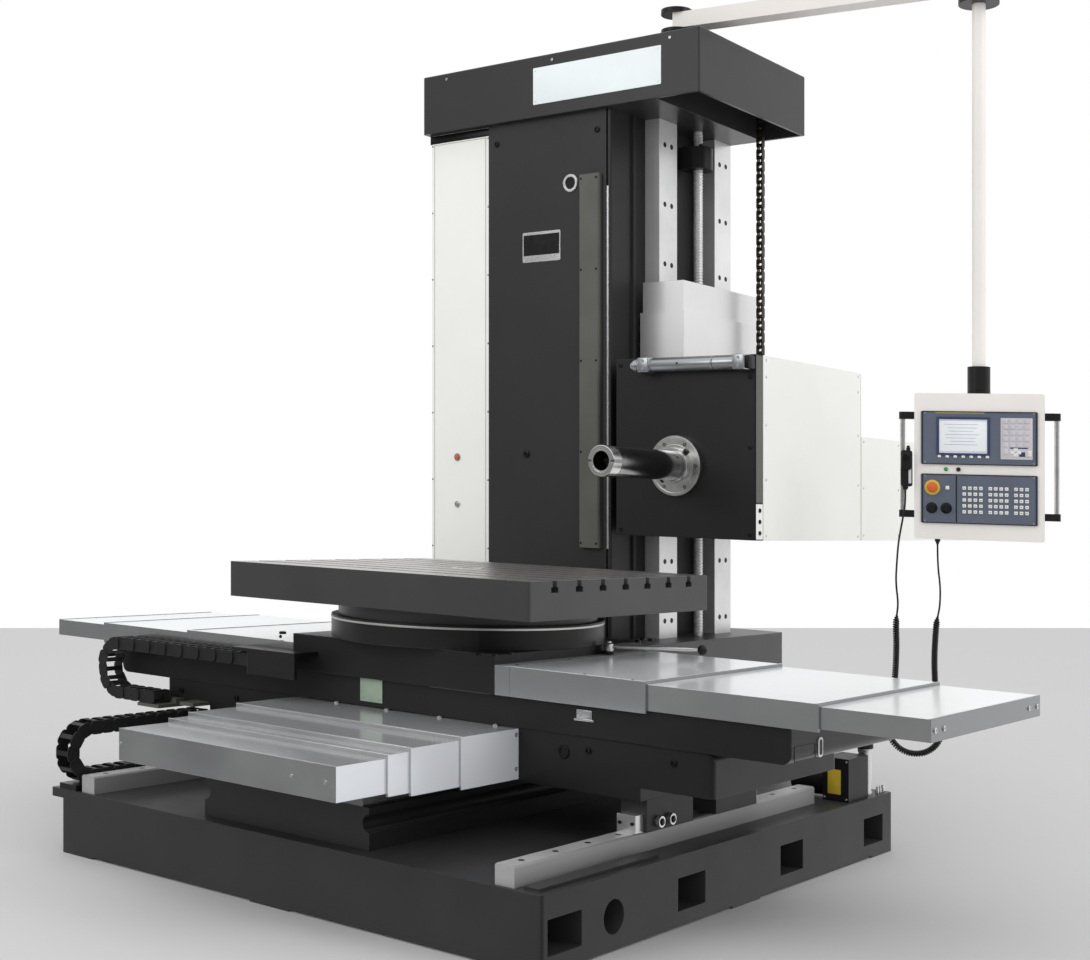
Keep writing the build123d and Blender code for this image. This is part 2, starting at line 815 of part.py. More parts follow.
chain_arm_gap = 6.0
chain_arm_lap = 120.0
chain_arm_drop = 70.0
x_chain_top_z = x_chain_low_z + 2 * x_chain_bend
chain_arm_front_y = x_chain_front_y - chain_arm_gap - foot_plate
with BuildPart() as cross_chain_arm:
    block(
        (x_chain_upper_end - chain_seat, slide_left_x + chain_arm_lap),
        (chain_arm_front_y, table_mid_y - slide_half_width),
        (x_chain_top_z + chain_arm_gap, x_chain_top_z + chain_arm_gap + foot_plate),
    )
    block(
        (x_chain_upper_end + 10, slide_left_x + chain_arm_lap),
        (chain_arm_front_y, x_chain_front_y - chain_arm_gap),
        (x_chain_top_z - chain_arm_drop, x_chain_top_z + chain_arm_gap),
    )
save(cross_chain_arm, "cross_chain_arm")

tray_overhang = 14.0
with BuildPart() as saddle_chain_tray:
    block(
        (z_chain_left_x - tray_overhang, z_chain_right_x),
        (bed_front_y, z_chain_lower_end + 60),
        (bed_height, z_chain_low_z),
    )
save(saddle_chain_tray, "saddle_chain_tray")

# Feed motor and oil filter on the back right corner of the bed
motor_box_x = (600.0, 700.0)
motor_box_y = (0.0, 150.0)
motor_box_height = 150.0
motor_radius = 50.0
motor_end_x = 470.0
with BuildPart() as feed_motor:
    block(motor_box_x, motor_box_y, (bed_height, bed_height + motor_box_height))
    with Locations(
        ((motor_end_x + motor_box_x[0]) / 2, motor_box_y[0] + motor_radius + 6, bed_height + motor_radius + 6)
    ):
        Cylinder(motor_radius, motor_box_x[0] - motor_end_x, rotation=(0, 90, 0))
save(feed_motor, "feed_motor")

filter_x = 664.0
filter_y = 200.0
filter_radius = 24.0
filter_cap_radius = 30.0
filter_cap = 20.0
filter_height = 165.0
filter_top_z = bed_height + filter_height
with BuildPart() as oil_filter:
    upright(filter_x, filter_y, filter_radius, bed_height, filter_top_z)
    upright(filter_x, filter_y, filter_cap_radius, filter_top_z, filter_top_z + filter_cap)
save(oil_filter, "oil_filter")



def chain_bore(low, high):
    """Cuts the room that the counterweight chain runs in."""
    half_x = chain_link_width / 2 + chain_room
    half_y = chain_width / 2 + chain_room
    block(
        (chain_x - half_x, chain_x + half_x),
        (chain_y - half_y, chain_y + half_y),
        (low, high),
        Mode.SUBTRACT,
    )


# Headstock: hangs on the column guides and holds the spindles
bore_radius = quill_radius + turn_gap
casting_right_x = head_right_x - cover_panel
keeper_left_x = head_left_x - keeper_depth
with BuildPart() as headstock:
    block((head_left_x, head_right_x), (0, front_plate), (head_low_z, head_high_z))
    block((head_left_x, casting_right_x), (front_plate, head_back_y), (head_low_z, head_high_z))
    keeper_front = guide_spans[0][0] - slide_gap
    keeper_back = guide_spans[1][1] + slide_gap
    block(
        (keeper_left_x, head_left_x),
        (keeper_front - keeper_width, keeper_front),
        (head_low_z, head_high_z),
    )
    block(
        (keeper_left_x, tail_left_x),
        (keeper_back, keeper_back + keeper_width / 2),
        (head_low_z, head_high_z),
    )
    block((head_left_x, tail_left_x), (head_back_y, keeper_back), (head_low_z, head_high_z))
    lengthwise(bore_radius, 0, quill_length, Mode.SUBTRACT)
    lengthwise(spindle_radius + safe_gap, quill_length, head_back_y, Mode.SUBTRACT)
    upright(screw_x, screw_y, screw_bore, head_low_z, head_high_z, Mode.SUBTRACT)
    chain_bore(head_low_z, head_high_z)
    fillet(headstock.edges().filter_by(Axis.Z).group_by(Axis.Y)[0], 8)
save(headstock, "headstock")

with BuildPart() as headstock_cover:
    block((casting_right_x, head_right_x), (front_plate, head_back_y), (head_low_z, head_high_z))
save(headstock_cover, "headstock_cover")

with BuildPart() as spindle_tail_cover:
    block((tail_left_x, head_right_x), (head_back_y, tail_back_y), (head_low_z, tail_high_z))
    lengthwise(spindle_radius + 3 * safe_gap, head_back_y, tail_back_y - tail_wall, Mode.SUBTRACT)
save(spindle_tail_cover, "spindle_tail_cover")

# Sheet guard that stands on the headstock round the guides and the screw
guard_sheet = 3.0
guard_inset = 8.0
guard_lid_x = screw_x + bearing_radius + safe_gap


def guard_ring(left, right, front, back, low, high, lid_left):
    """A channel open towards the column with a lid beyond the screw."""
    with BuildSketch(Plane.XY.offset(low)) as ring:
        with Locations(((left + right) / 2, (front + back) / 2)):
            Rectangle(right - left, back - front)
        with Locations(((left + right) / 2 - guard_sheet, (front + back) / 2)):
            Rectangle(right - left, back - front - 2 * guard_sheet, mode=Mode.SUBTRACT)
    extrude(ring.sketch, amount=high - low)
    block((lid_left, right), (front, back), (high - guard_sheet, high))


with BuildPart() as way_guard:
    guard_ring(
        guard_left_x,
        guard_right_x,
        guard_front_y,
        guard_back_y,
        head_high_z,
        guard_step_z,
        guard_lid_x,
    )
    guard_ring(
        guard_left_x + guard_inset,
        guard_right_x - guard_inset,
        guard_front_y + guard_inset,
        guard_back_y - guard_inset,
        guard_step_z,
        guard_top_z,
        guard_lid_x,
    )
save(way_guard, "way_guard")

# Anchor and run of the counterweight chain
anchor_height = 46.0
anchor_foot = 12.0
anchor_half = 32.0
anchor_cheek = 8.0
with BuildPart() as chain_anchor:
    block(
        (chain_x - anchor_half, chain_x + anchor_half),
        (chain_y - anchor_half, chain_y + anchor_half),
        (head_high_z, head_high_z + anchor_foot),
    )
    for side in (-1, 1):
        inner = chain_x + side * (chain_link_width / 2 + chain_room)
        block(
            sorted((inner, inner + side * anchor_cheek)),
            (chain_y - anchor_half / 2, chain_y + anchor_half / 2),
            (head_high_z + anchor_foot, head_high_z + anchor_height),
        )
    chain_bore(head_high_z, head_high_z + anchor_foot)
save(chain_anchor, "chain_anchor")

with BuildPart() as counterweight_chain:
    block(
        (chain_x - chain_link_width / 2, chain_x + chain_link_width / 2),
        (chain_y - chain_width / 2, chain_y + chain_width / 2),
        (chain_foot_z, column_top_z + cap_recess),
    )
save(counterweight_chain, "counterweight_chain")

# Work lamp: a tube along the top of the front plate on two brackets
lamp_y = -lamp_radius - lamp_stand_off
lamp_bracket = 48.0
lamp_rim = 3.0
with BuildPart() as work_lamp:
    with Locations(((lamp_left_x + lamp_right_x) / 2, lamp_y, lamp_z)):
        Cylinder(lamp_radius, lamp_right_x - lamp_left_x, rotation=(0, 90, 0))
    for end_x in (lamp_left_x + lamp_bracket, lamp_right_x):
        block(
            (end_x, end_x + lamp_bracket),
            (lamp_y - lamp_radius - lamp_rim, 0),
            (lamp_z - lamp_radius - lamp_rim, lamp_z + lamp_radius + lamp_rim),
        )
save(work_lamp, "work_lamp")

# Milling spindle: a sleeve with the nose flange, which turns in the headstock
sleeve_bore = spindle_radius + turn_gap
with BuildPart() as milling_spindle:
    lengthwise(quill_radius, slide_gap, quill_length - safe_gap)
    lengthwise(flange_radius, -flange_thickness, -slide_gap)
    lengthwise(quill_radius, -slide_gap, slide_gap)
    lengthwise(collar_radius, -collar_length, -flange_thickness)
    lengthwise(sleeve_bore, -collar_length, quill_length - safe_gap, Mode.SUBTRACT)
    with Locations(Plane(origin=(0, -flange_thickness, spindle_z), x_dir=(1, 0, 0), z_dir=(0, -1, 0))):
        with PolarLocations(face_hole_circle / 2, face_hole_count):
            Hole(face_hole_radius, depth=face_hole_depth)
save(milling_spindle, "milling_spindle")

# Boring spindle with its taper socket
with BuildPart() as boring_spindle:
    with BuildSketch(Plane.YZ):
        with BuildLine():
            Polyline(
                (spindle_nose_y + taper_depth, spindle_z),
                (spindle_nose_y + taper_depth, spindle_z + taper_end_radius),
                (spindle_nose_y, spindle_z + taper_radius),
                (spindle_nose_y, spindle_z + spindle_radius - 4),
                (spindle_nose_y + 4, spindle_z + spindle_radius),
                (spindle_tail_y, spindle_z + spindle_radius),
                (spindle_tail_y, spindle_z),
                close=True,
            )
        make_face()
    revolve(axis=Axis((0, 0, spindle_z), (0, 1, 0)))
save(boring_spindle, "boring_spindle")

# Swing arm: pivots on the cap and ends in an elbow with a hanging pole
arm_way = Vector(cos(radians(arm_angle)), sin(radians(arm_angle)), 0)
hang_point = Vector(pivot_x, pivot_y, 0) + arm_way * arm_reach
hang_x = hang_point.X
hang_y = hang_point.Y
arm_low_z = cap_top_z + arm_rise
pivot_radius = 62.0
pivot_collar = 14.0
pivot_base = 90.0
pivot_cap = 18.0
with BuildPart() as arm_pivot:
    upright(pivot_x, pivot_y, pivot_radius, cap_top_z, arm_low_z - pivot_collar - slide_gap)
    block(
        (pivot_x - pivot_base, pivot_x + pivot_base),
        (pivot_y - pivot_base, pivot_y + pivot_base),
        (cap_top_z, cap_top_z + pivot_collar),
    )
save(arm_pivot, "arm_pivot")

arm_plane = Plane(origin=(pivot_x, pivot_y, arm_low_z), x_dir=arm_way, z_dir=(0, 0, 1))
with BuildPart() as swing_arm:
    with BuildSketch(arm_plane):
        with Locations((arm_reach / 2, 0)):
            Rectangle(arm_reach, arm_width)
    extrude(amount=arm_height)
save(swing_arm, "swing_arm")

with BuildPart() as arm_fittings:
    upright(pivot_x, pivot_y, pivot_radius, arm_low_z - pivot_collar, arm_low_z)
    upright(pivot_x, pivot_y, pivot_radius, arm_low_z + arm_height, arm_low_z + arm_height + pivot_cap)
    upright(hang_x, hang_y, elbow_radius, arm_low_z - elbow_drop, arm_low_z)
save(arm_fittings, "arm_fittings")

with BuildPart() as arm_pole:
    upright(hang_x, hang_y, pole_radius, pole_low_z, arm_low_z - elbow_drop)
save(arm_pole, "arm_pole")

# Pendant: a box that faces the operator, with panels, handles and the hand unit
turn = radians(pendant_turn)
pendant_right = Vector(cos(turn), sin(turn), 0)
pendant_front = Vector(sin(turn), -cos(turn), 0)
pendant_height = pendant_high_z - pendant_low_z


def pendant_plane(forward):
    """A plane parallel to the pendant's face, forward of its middle; x to the right, y up."""
    return Plane(
        origin=Vector(hang_x, hang_y, pendant_low_z) + pendant_front * forward,
        x_dir=pendant_right,
        z_dir=pendant_front,
    )


def pendant_point(across, forward, up):
    """A point across the pendant, forward of its middle and up from its underside."""
    return (
        Vector(hang_x, hang_y, pendant_low_z)
        + pendant_right * across
        + pendant_front * forward
        + Vector(0, 0, up)
    )


pendant_face = pendant_depth / 2
with BuildPart() as pendant_box:
    with BuildSketch(pendant_plane(-pendant_face)):
        with Locations((0, pendant_height / 2)):
            RectangleRounded(pendant_width, pendant_height, 8)
    extrude(amount=pendant_depth)
save(pendant_box, "pendant_box")

with BuildPart() as pendant_coupling:
    upright(hang_x, hang_y, coupling_radius, pendant_high_z, pole_low_z - slide_gap)
save(pendant_coupling, "pendant_coupling")

panel_thickness = 6.0
panel_width = 400.0
display_height = 190.0
display_level = 362.0
keys_height = 176.0
keys_level = 145.0
with BuildPart() as pendant_panels:
    with BuildSketch(pendant_plane(pendant_face)):
        with Locations((0, display_level)):
            RectangleRounded(panel_width, display_height, 5)
        with Locations((0, keys_level)):
            RectangleRounded(panel_width, keys_height, 5)
    extrude(amount=panel_thickness)
save(pendant_panels, "pendant_panels")

handle_ends = (75.0, 455.0)
handle_forward = pendant_face - 30
bracket_half = 13.0
with BuildPart() as pendant_handles:
    for side in (-1, 1):
        middle = side * (pendant_width / 2 + handle_reach)
        with BuildSketch(Plane(pendant_point(middle, handle_forward, handle_ends[0] + 2 * bracket_half))):
            Circle(handle_radius)
        extrude(amount=handle_ends[1] - handle_ends[0] - 4 * bracket_half)
save(pendant_handles, "pendant_handles")

with BuildPart() as handle_brackets:
    for side in (-1, 1):
        for level in (handle_ends[0], handle_ends[1] - 2 * bracket_half):
            seat = Plane(pendant_point(side * pendant_width / 2, handle_forward, level), x_dir=pendant_right)
            with BuildSketch(seat):
                with Locations((side * handle_reach / 2, 0)):
                    Rectangle(handle_reach, 2 * bracket_half)
                with Locations((side * handle_reach, 0)):
                    Circle(bracket_half)
            extrude(amount=2 * bracket_half)
save(handle_brackets, "handle_brackets")

hand_unit_left = -pendant_width / 2 - handle_reach + handle_radius + 2
with BuildPart() as hand_unit:
    with BuildSketch(pendant_plane(handle_forward + handle_radius)):
        with Locations((hand_unit_left, hand_unit_low_z - pendant_low_z + hand_unit_height / 2)):
            RectangleRounded(hand_unit_width, hand_unit_height, 10)
    extrude(amount=hand_unit_depth)
save(hand_unit, "hand_unit")

# Curly cord: from the gland under the pendant down, round a wide bend and up to the hand unit.
# Each point is across the pendant, forward of its middle, and up from its underside.
gland_across = -144.0
gland_length = 20.0
gland_radius = 11.0
gland_foot_radius = 6.5
hand_unit_forward = handle_forward + handle_radius + hand_unit_depth / 2
hand_unit_foot = hand_unit_low_z - pendant_low_z
pendant_lead = (
    (gland_across, 0.0, -gland_length),
    (gland_across, 0.0, -95.0),
    (-134.0, 4.0, -170.0),
    (-135.0, 9.0, -240.0),
)
curl_first = (-142.0, 11.5, -276.0)  # on the run between the lead and the curl
curl_points = (
    (-149.0, 14.0, -312.0),
    (-157.0, 26.0, -470.0),
    (-140.0, 38.0, -640.0),
    (-127.0, 44.0, -720.0),
    (-182.7, 50.0, -776.0),
    (-261.3, 56.0, -776.0),
    (-317.0, 62.0, -720.0),
    (-305.0, 66.0, -640.0),
    (-291.0, 69.0, -520.0),
    (-285.0, 72.0, -390.0),
    (-288.0, 74.0, -310.0),
)
curl_last = (-283.5, 75.0, -272.5)  # on the run between the curl and the upper lead
hand_lead = (
    (-279.0, 76.0, -235.0),
    (-288.0, 78.0, -160.0),
    (-284.0, 79.0, -90.0),
    (-279.0, 78.5, -20.0),
    (-267.0, 78.0, 50.0),
    (-254.0, hand_unit_forward, 115.0),
    (-254.0, hand_unit_forward, hand_unit_foot),
)


def cord_tube(points, radius):
    """Straight runs joined by the largest arcs that leave a tenth of each run straight."""
    route = [pendant_point(*point) for point in points]
    arcs = []
    for before, corner, after in zip(route, route[1:], route[2:]):
        shorter = min((corner - before).length, (after - corner).length)
        half_turn = radians((corner - before).get_angle(after - corner)) / 2
        arcs.append(0.45 * shorter / tan(half_turn))
    print("arc radii", [round(arc) for arc in arcs])
    with BuildPart() as made:
        with BuildLine() as path:
            FilletPolyline(*route, radius=arcs)
        with BuildSketch(Plane(origin=route[0], z_dir=route[1] - route[0])):
            RegularPolygon(radius, cord_sides)
        sweep(path=path.line)
    return made


gland_plane = Plane(pendant_point(gland_across, 0, 0), z_dir=(0, 0, -1))
with BuildPart() as cord_gland:
    with BuildSketch(gland_plane):
        RegularPolygon(gland_radius, 6)
    extrude(amount=gland_length / 2)
    with BuildSketch(gland_plane.offset(gland_length / 2)):
        Circle(gland_foot_radius)
    extrude(amount=gland_length / 2)
save(cord_gland, "cord_gland")

save(cord_tube((*pendant_lead, curl_first), cord_radius), "cord_pendant_lead")
save(cord_tube((curl_first, *curl_points, curl_last), curl_radius), "cord_curl")
save(cord_tube((curl_last, *hand_lead), cord_radius), "cord_hand_lead")
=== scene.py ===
import json
import math

import bmesh
import bpy
from mathutils import Matrix, Vector

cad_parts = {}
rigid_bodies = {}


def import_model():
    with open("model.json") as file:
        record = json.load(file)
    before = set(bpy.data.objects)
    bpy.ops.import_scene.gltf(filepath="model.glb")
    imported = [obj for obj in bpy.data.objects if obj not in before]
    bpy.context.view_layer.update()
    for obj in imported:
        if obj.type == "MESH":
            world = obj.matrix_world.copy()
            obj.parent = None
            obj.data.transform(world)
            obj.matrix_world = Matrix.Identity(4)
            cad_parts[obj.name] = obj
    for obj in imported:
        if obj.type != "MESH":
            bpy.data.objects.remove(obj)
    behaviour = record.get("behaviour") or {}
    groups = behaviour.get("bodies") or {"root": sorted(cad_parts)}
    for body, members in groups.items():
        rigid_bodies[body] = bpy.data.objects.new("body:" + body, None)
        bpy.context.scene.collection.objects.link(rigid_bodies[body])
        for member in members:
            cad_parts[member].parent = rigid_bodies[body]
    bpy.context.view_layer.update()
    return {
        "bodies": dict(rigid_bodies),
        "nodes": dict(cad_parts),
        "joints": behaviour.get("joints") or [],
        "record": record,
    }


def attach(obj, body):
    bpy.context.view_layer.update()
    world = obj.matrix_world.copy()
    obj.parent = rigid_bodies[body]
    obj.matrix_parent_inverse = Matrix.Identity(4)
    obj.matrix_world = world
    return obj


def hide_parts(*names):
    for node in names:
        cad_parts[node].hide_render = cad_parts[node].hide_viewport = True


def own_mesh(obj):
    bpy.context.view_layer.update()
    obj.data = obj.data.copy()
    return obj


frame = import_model()
nodes = frame["nodes"]

# Camera, found from the vanishing points of the photograph
camera = {
    "place": (3.161, -4.922, 1.2216),
    "yaw": 37.56,
    "focal": 1557 / 1090 * 36,
    "shift": (-0.0009, 0.0211),
    "skew": 0.030,  # horizontals run down to the right, and verticals stay upright
    "horizon": 503,
    "floorEdge": 628,
    "middle": 546,
    "pixelFocal": 1557,
    "sensor": 36,
    "farthest": 100,
}


def placeCamera():
    data = bpy.data.cameras.new("camera")
    data.lens = camera["focal"]
    data.sensor_width = camera["sensor"]
    data.shift_x, data.shift_y = camera["shift"]
    data.clip_end = camera["farthest"]
    view = bpy.data.objects.new("camera", data)
    bpy.context.scene.collection.objects.link(view)
    bpy.context.scene.camera = view
    holder = bpy.data.objects.new("cameraHolder", None)
    bpy.context.scene.collection.objects.link(holder)
    yaw = math.radians(camera["yaw"])
    right = Vector((math.cos(yaw), math.sin(yaw), 0))
    up = Vector((0, 0, 1))
    back = right.cross(up)
    right = right + up * camera["skew"]
    view.parent = holder
    view.matrix_parent_inverse = Matrix((
        (right.x, up.x, back.x, camera["place"][0]),
        (right.y, up.y, back.y, camera["place"][1]),
        (right.z, up.z, back.z, camera["place"][2]),
        (0, 0, 0, 1),
    ))


placeCamera()
print("camera placed")

# Finishes. Colours are as they look on a screen, and sizes are in metres.
# What each finish has where its own entry says nothing else
plainFinish = {
    "amount": 0.5, "spread": 0.1, "metal": 0.0, "gloss": 0.5, "grain": 700, "bump": 0.05, "edge": 0.0005,
    "ripple": 0.0,
}
finishes = {
    "castingPaint": {
        "slot": "casting", "tone": "3a3a3a", "worn": "2b2c2e", "patch": 1.6, "amount": 0.55, "rough": 0.42,
        "spread": 0.16, "grain": 320, "bump": 0.16, "edge": 0.003, "edgeTone": "6a6a6a", "gloss": 0.3,
        # painted shade: faces that look right are darkened towards near black
        "paintedSideShading": {"tone": "0a0a0a", "share": 0.7},
    },
    "darkPaint": {
        "slot": "casting", "tone": "232323", "worn": "181819", "patch": 2.2, "rough": 0.36, "spread": 0.14,
        "grain": 320, "bump": 0.14, "edge": 0.004, "edgeTone": "7a7a7a", "gloss": 0.3,
        # painted shade: faces that look right are darkened towards near black
        "paintedSideShading": {"tone": "0a0a0a", "share": 0.7},
    },
    "columnPaint": {
        "slot": "casting", "tone": "333333", "worn": "272727", "patch": 0.9, "rough": 0.4, "spread": 0.14,
        "grain": 280, "bump": 0.16, "edge": 0.003, "edgeTone": "565656", "gloss": 0.3,
        # painted shade: faces that look right are darkened towards near black
        "paintedSideShading": {"tone": "0a0a0a", "share": 0.55},
    },
    "capPaint": {
        "slot": "cap_paint", "tone": "383838", "worn": "2f2f2f", "patch": 1.1, "amount": 0.4,
        "rough": 0.33, "spread": 0.12, "grain": 280, "bump": 0.12, "edge": 0.003, "edgeTone": "707070",
        "gloss": 0.3,
    },
    "whitePaint": {
        "slot": "white_sheet", "tone": "f6f7f2", "worn": "ecede7", "patch": 1.3, "amount": 0.55,
        "rough": 0.38, "grain": 420, "edge": 0.002, "edgeTone": "fafaf7",
    },
    "lightPaint": {
        "slot": "light_paint", "tone": "f4efeb", "worn": "e9e4df", "patch": 2.6, "rough": 0.4,
        "grain": 520, "bump": 0.07, "edge": 0.0015, "edgeTone": "fbf8f5",
    },
    "greyPaint": {
        "slot": "grey_paint", "tone": "5e5f58", "worn": "4d4e49", "patch": 3.0, "amount": 0.6,
        "rough": 0.45, "spread": 0.14, "metal": 0.1, "grain": 380, "bump": 0.1, "edge": 0.0015,
        "edgeTone": "83847d",
    },
    "blackPlastic": {
        "slot": "black_plastic", "tone": "1b1b1c", "worn": "252526", "patch": 9.0, "rough": 0.44,
        "spread": 0.12, "grain": 900, "bump": 0.12, "edge": 0.001, "edgeTone": "3c3c3e",
        # painted shade: faces of the plastic that look right are darkened towards near black
        "paintedSideShading": {"tone": "050505", "share": 0.8}, "gloss": 0.3,
    },
    "chainPlastic": {
        "slot": "chain_plastic", "tone": "161617", "worn": "232324", "patch": 12.0, "amount": 0.6,
        "rough": 0.5, "spread": 0.16, "grain": 900, "bump": 0.12, "edge": 0.001, "edgeTone": "3a3a3c",
    },
    "panelPlastic": {
        "slot": "panel_plastic", "tone": "626a7a", "worn": "545b69", "patch": 7.0, "rough": 0.36,
        "spread": 0.08, "grain": 1100, "bump": 0.06, "edge": 0.0008, "edgeTone": "687084",
    },
    "cordRubber": {
        "slot": "cord", "tone": "141414", "worn": "202020", "patch": 30.0, "rough": 0.5, "spread": 0.12,
        "grain": 1500, "bump": 0.08, "edge": 0.0004, "edgeTone": "2c2c2c",
    },
    "chainSteel": {
        "slot": "chain_steel", "tone": "4a4640", "worn": "262421", "patch": 25.0, "amount": 0.7,
        "rough": 0.36, "spread": 0.2, "metal": 0.85, "grain": 900, "bump": 0.08, "edge": 0.0006,
        "edgeTone": "9a958c",
    },
    "groundSteel": {
        "slot": "ground_steel", "tone": "f2f2f2", "worn": "d6d7d9", "patch": 4.0, "rough": 0.32,
        "spread": 0.16, "metal": 0.62, "stretch": (900, 900, 6), "edge": 0.0015, "edgeTone": "e4e4e6",
    },
    "wayAlongY": {
        "slot": "ground_steel", "tone": "b4b5b6", "worn": "94969a", "patch": 4.0, "rough": 0.27,
        "spread": 0.16, "metal": 1.0, "stretch": (900, 6, 900), "edge": 0.0015, "edgeTone": "e4e4e6",
    },
    "wayAlongX": {
        "slot": "ground_steel", "tone": "b4b5b6", "worn": "94969a", "patch": 4.0, "rough": 0.27,
        "spread": 0.16, "metal": 1.0, "stretch": (6, 900, 900), "edge": 0.0015, "edgeTone": "e4e4e6",
    },
    "coverSheet": {
        "slot": "bright_sheet", "tone": "d9dadb", "worn": "bcbdbf", "patch": 2.2, "amount": 0.6,
        "rough": 0.16, "spread": 0.12, "metal": 0.92, "stretch": (40, 260, 260), "edge": 0.0015,
        # painted light and shade: tops take a lighter tone with less metal, and faces that look right take a
        # darker grey with less metal
        "edgeTone": "f2f2f2", "ripple": 0.35, "paintedTopLight": {"tone": "f0f2f4", "metal": 0.3},
        "paintedSideShading": {"tone": "858688", "metal": 0.5},
    },
    "frontSheet": {
        "slot": "bright_sheet", "tone": "d9dadb", "worn": "b4b5b7", "patch": 2.6, "amount": 0.7,
        "rough": 0.18, "spread": 0.12, "metal": 0.92, "stretch": (260, 40, 260), "edge": 0.0015,
        # painted light and shade: tops take their own tone with less metal, and faces that look right take a
        # near white tone with little metal
        "edgeTone": "f2f2f2", "ripple": 0.5, "paintedTopLight": {"tone": "dfe1e3", "metal": 0.6},
        "paintedSideShading": {"tone": "eceff4", "metal": 0.1},
    },
    "noseSteel": {
        "slot": "nose_steel", "tone": "e2e2e0", "worn": "c4c4c2", "patch": 14.0, "amount": 0.6,
        "rough": 0.24, "spread": 0.06, "metal": 1.0, "turned": (0, 0, -1.375), "bump": 0.015,
        "edge": 0.0015, "edgeTone": "f0f0ee",
    },
    "plainSteel": {
        "slot": "nose_steel", "tone": "dadada", "worn": "b8b8b9", "patch": 16.0, "rough": 0.26,
        "spread": 0.14, "metal": 0.85, "grain": 600, "edge": 0.0008, "edgeTone": "ededed",
    },
    "darkSteel": {
        "slot": "dark_steel", "tone": "262628", "worn": "38383a", "patch": 10.0, "amount": 0.6,
        "rough": 0.24, "spread": 0.14, "metal": 0.75, "edge": 0.0015, "edgeTone": "8a8a8c",
    },
    "boltBlack": {
        "slot": "dark_steel", "tone": "1a1a1b", "worn": "2c2c2d", "patch": 40.0, "amount": 0.6,
        "rough": 0.34, "spread": 0.14, "metal": 0.6, "grain": 900, "edge": 0.0006, "edgeTone": "5a5a5c",
    },
    "railSteel": {
        "slot": "ground_steel", "tone": "b9b9b9", "worn": "9c9c9d", "patch": 5.0, "amount": 0.6,
        "rough": 0.42, "spread": 0.12, "metal": 0.3, "stretch": (900, 6, 900), "bump": 0.04,
        # painted shade: faces of the rails that look right take a darker grey
        "edge": 0.0015, "edgeTone": "dcdcdc", "paintedSideShading": {"tone": "969697"},
    },
    "spindleSteel": {
        "slot": "dark_steel", "tone": "a0a0a2", "worn": "808082", "patch": 10.0, "amount": 0.6,
        "rough": 0.2, "metal": 1.0, "turned": (0, 0, -1.375), "bump": 0.01, "edge": 0.0015,
        "edgeTone": "b4b4b6",
    },
    # painted light: a lighter copy of the casting paint for the column base, whose side looks lit
    "columnBaseLitPaint": {
        "slot": "casting", "tone": "4a4a4a", "worn": "3e3e3e", "patch": 1.2, "rough": 0.4, "spread": 0.14,
        "grain": 300, "bump": 0.16, "edge": 0.003, "edgeTone": "6a6a6a",
    },
    "plateGreen": {
        "slot": "grey_paint", "tone": "9dae9b", "worn": "86978a", "patch": 12.0, "amount": 0.6,
        "rough": 0.4, "metal": 0.1, "bump": 0.04, "edge": 0.0008, "edgeTone": "b8c6b6",
    },
    "guardSheet": {
        "slot": "bright_sheet", "tone": "f0f0f0", "worn": "dedede", "patch": 1.6, "amount": 0.4,
        "rough": 0.34, "spread": 0.08, "metal": 0.66, "grain": 500, "bump": 0.04, "edge": 0.0012,
        "edgeTone": "e4e4e4",
    },
    "lampSteel": {
        "slot": "dark_steel", "tone": "b9bcc0", "worn": "a2a5aa", "patch": 6.0, "amount": 0.4,
        "rough": 0.3, "spread": 0.08, "metal": 0.9, "bump": 0.04, "edge": 0.0008, "edgeTone": "dcdde0",
    },
    "ringSteel": {
        "slot": "dark_steel", "tone": "d6d6d2", "worn": "bcbcb6", "patch": 3.0, "amount": 0.4,
        "rough": 0.36, "spread": 0.08, "metal": 0.75, "bump": 0.04, "edgeTone": "ececea",
    },
    "signWhite": {
        "slot": "white_sheet", "tone": "f0f8f9", "worn": "e4eeef", "patch": 5.0, "amount": 0.4,
        "rough": 0.3, "spread": 0.06, "bump": 0.03, "edgeTone": "ffffff",
    },
    "seamGrey": {
        "slot": "white_sheet", "tone": "c4c4bd", "worn": "a9a9a2", "patch": 8.0, "amount": 0.6,
        "rough": 0.5, "edge": 0.0004, "edgeTone": "d4d4ce",
    },
    "signalOrange": {
        "slot": "black_plastic", "tone": "d9622b", "worn": "bf4f1f", "patch": 30.0, "amount": 0.4,
        "rough": 0.34, "spread": 0.06, "grain": 1200, "bump": 0.04, "edge": 0.0006, "edgeTone": "ee8a52",
    },
    "signalYellow": {
        "slot": "black_plastic", "tone": "dcbc3c", "worn": "c9a92c", "patch": 30.0, "amount": 0.4,
        "rough": 0.36, "spread": 0.06, "grain": 1200, "bump": 0.04, "edge": 0.0006, "edgeTone": "f2dc74",
    },
    "signalGreen": {
        "slot": "black_plastic", "tone": "3f9a4c", "worn": "2f7d3a", "patch": 30.0, "amount": 0.4,
        "rough": 0.25, "spread": 0.06, "grain": 1200, "bump": 0.04, "edge": 0.0006, "edgeTone": "6cc077",
    },
    "keyWhite": {
        "slot": "light_paint", "tone": "e8e8e6", "worn": "d2d2d0", "patch": 40.0, "rough": 0.4,
        "spread": 0.08, "grain": 1500, "edgeTone": "f6f6f4",
    },
    "keyGrey": {
        "slot": "panel_plastic", "tone": "cfccd2", "worn": "bab8bf", "patch": 20.0, "rough": 0.42,
        "spread": 0.08, "grain": 1500, "edgeTone": "c6ccd4",
    },
    "screenBlue": {
        "slot": "panel_plastic", "tone": "3b4468", "worn": "323a5c", "patch": 6.0, "rough": 0.22,
        "spread": 0.05, "grain": 1500, "bump": 0.02, "edgeTone": "5b78a8",
    },
    "screenGlass": {
        "slot": "panel_plastic", "tone": "f4f7fa", "worn": "e6ecf0", "patch": 9.0, "rough": 0.12,
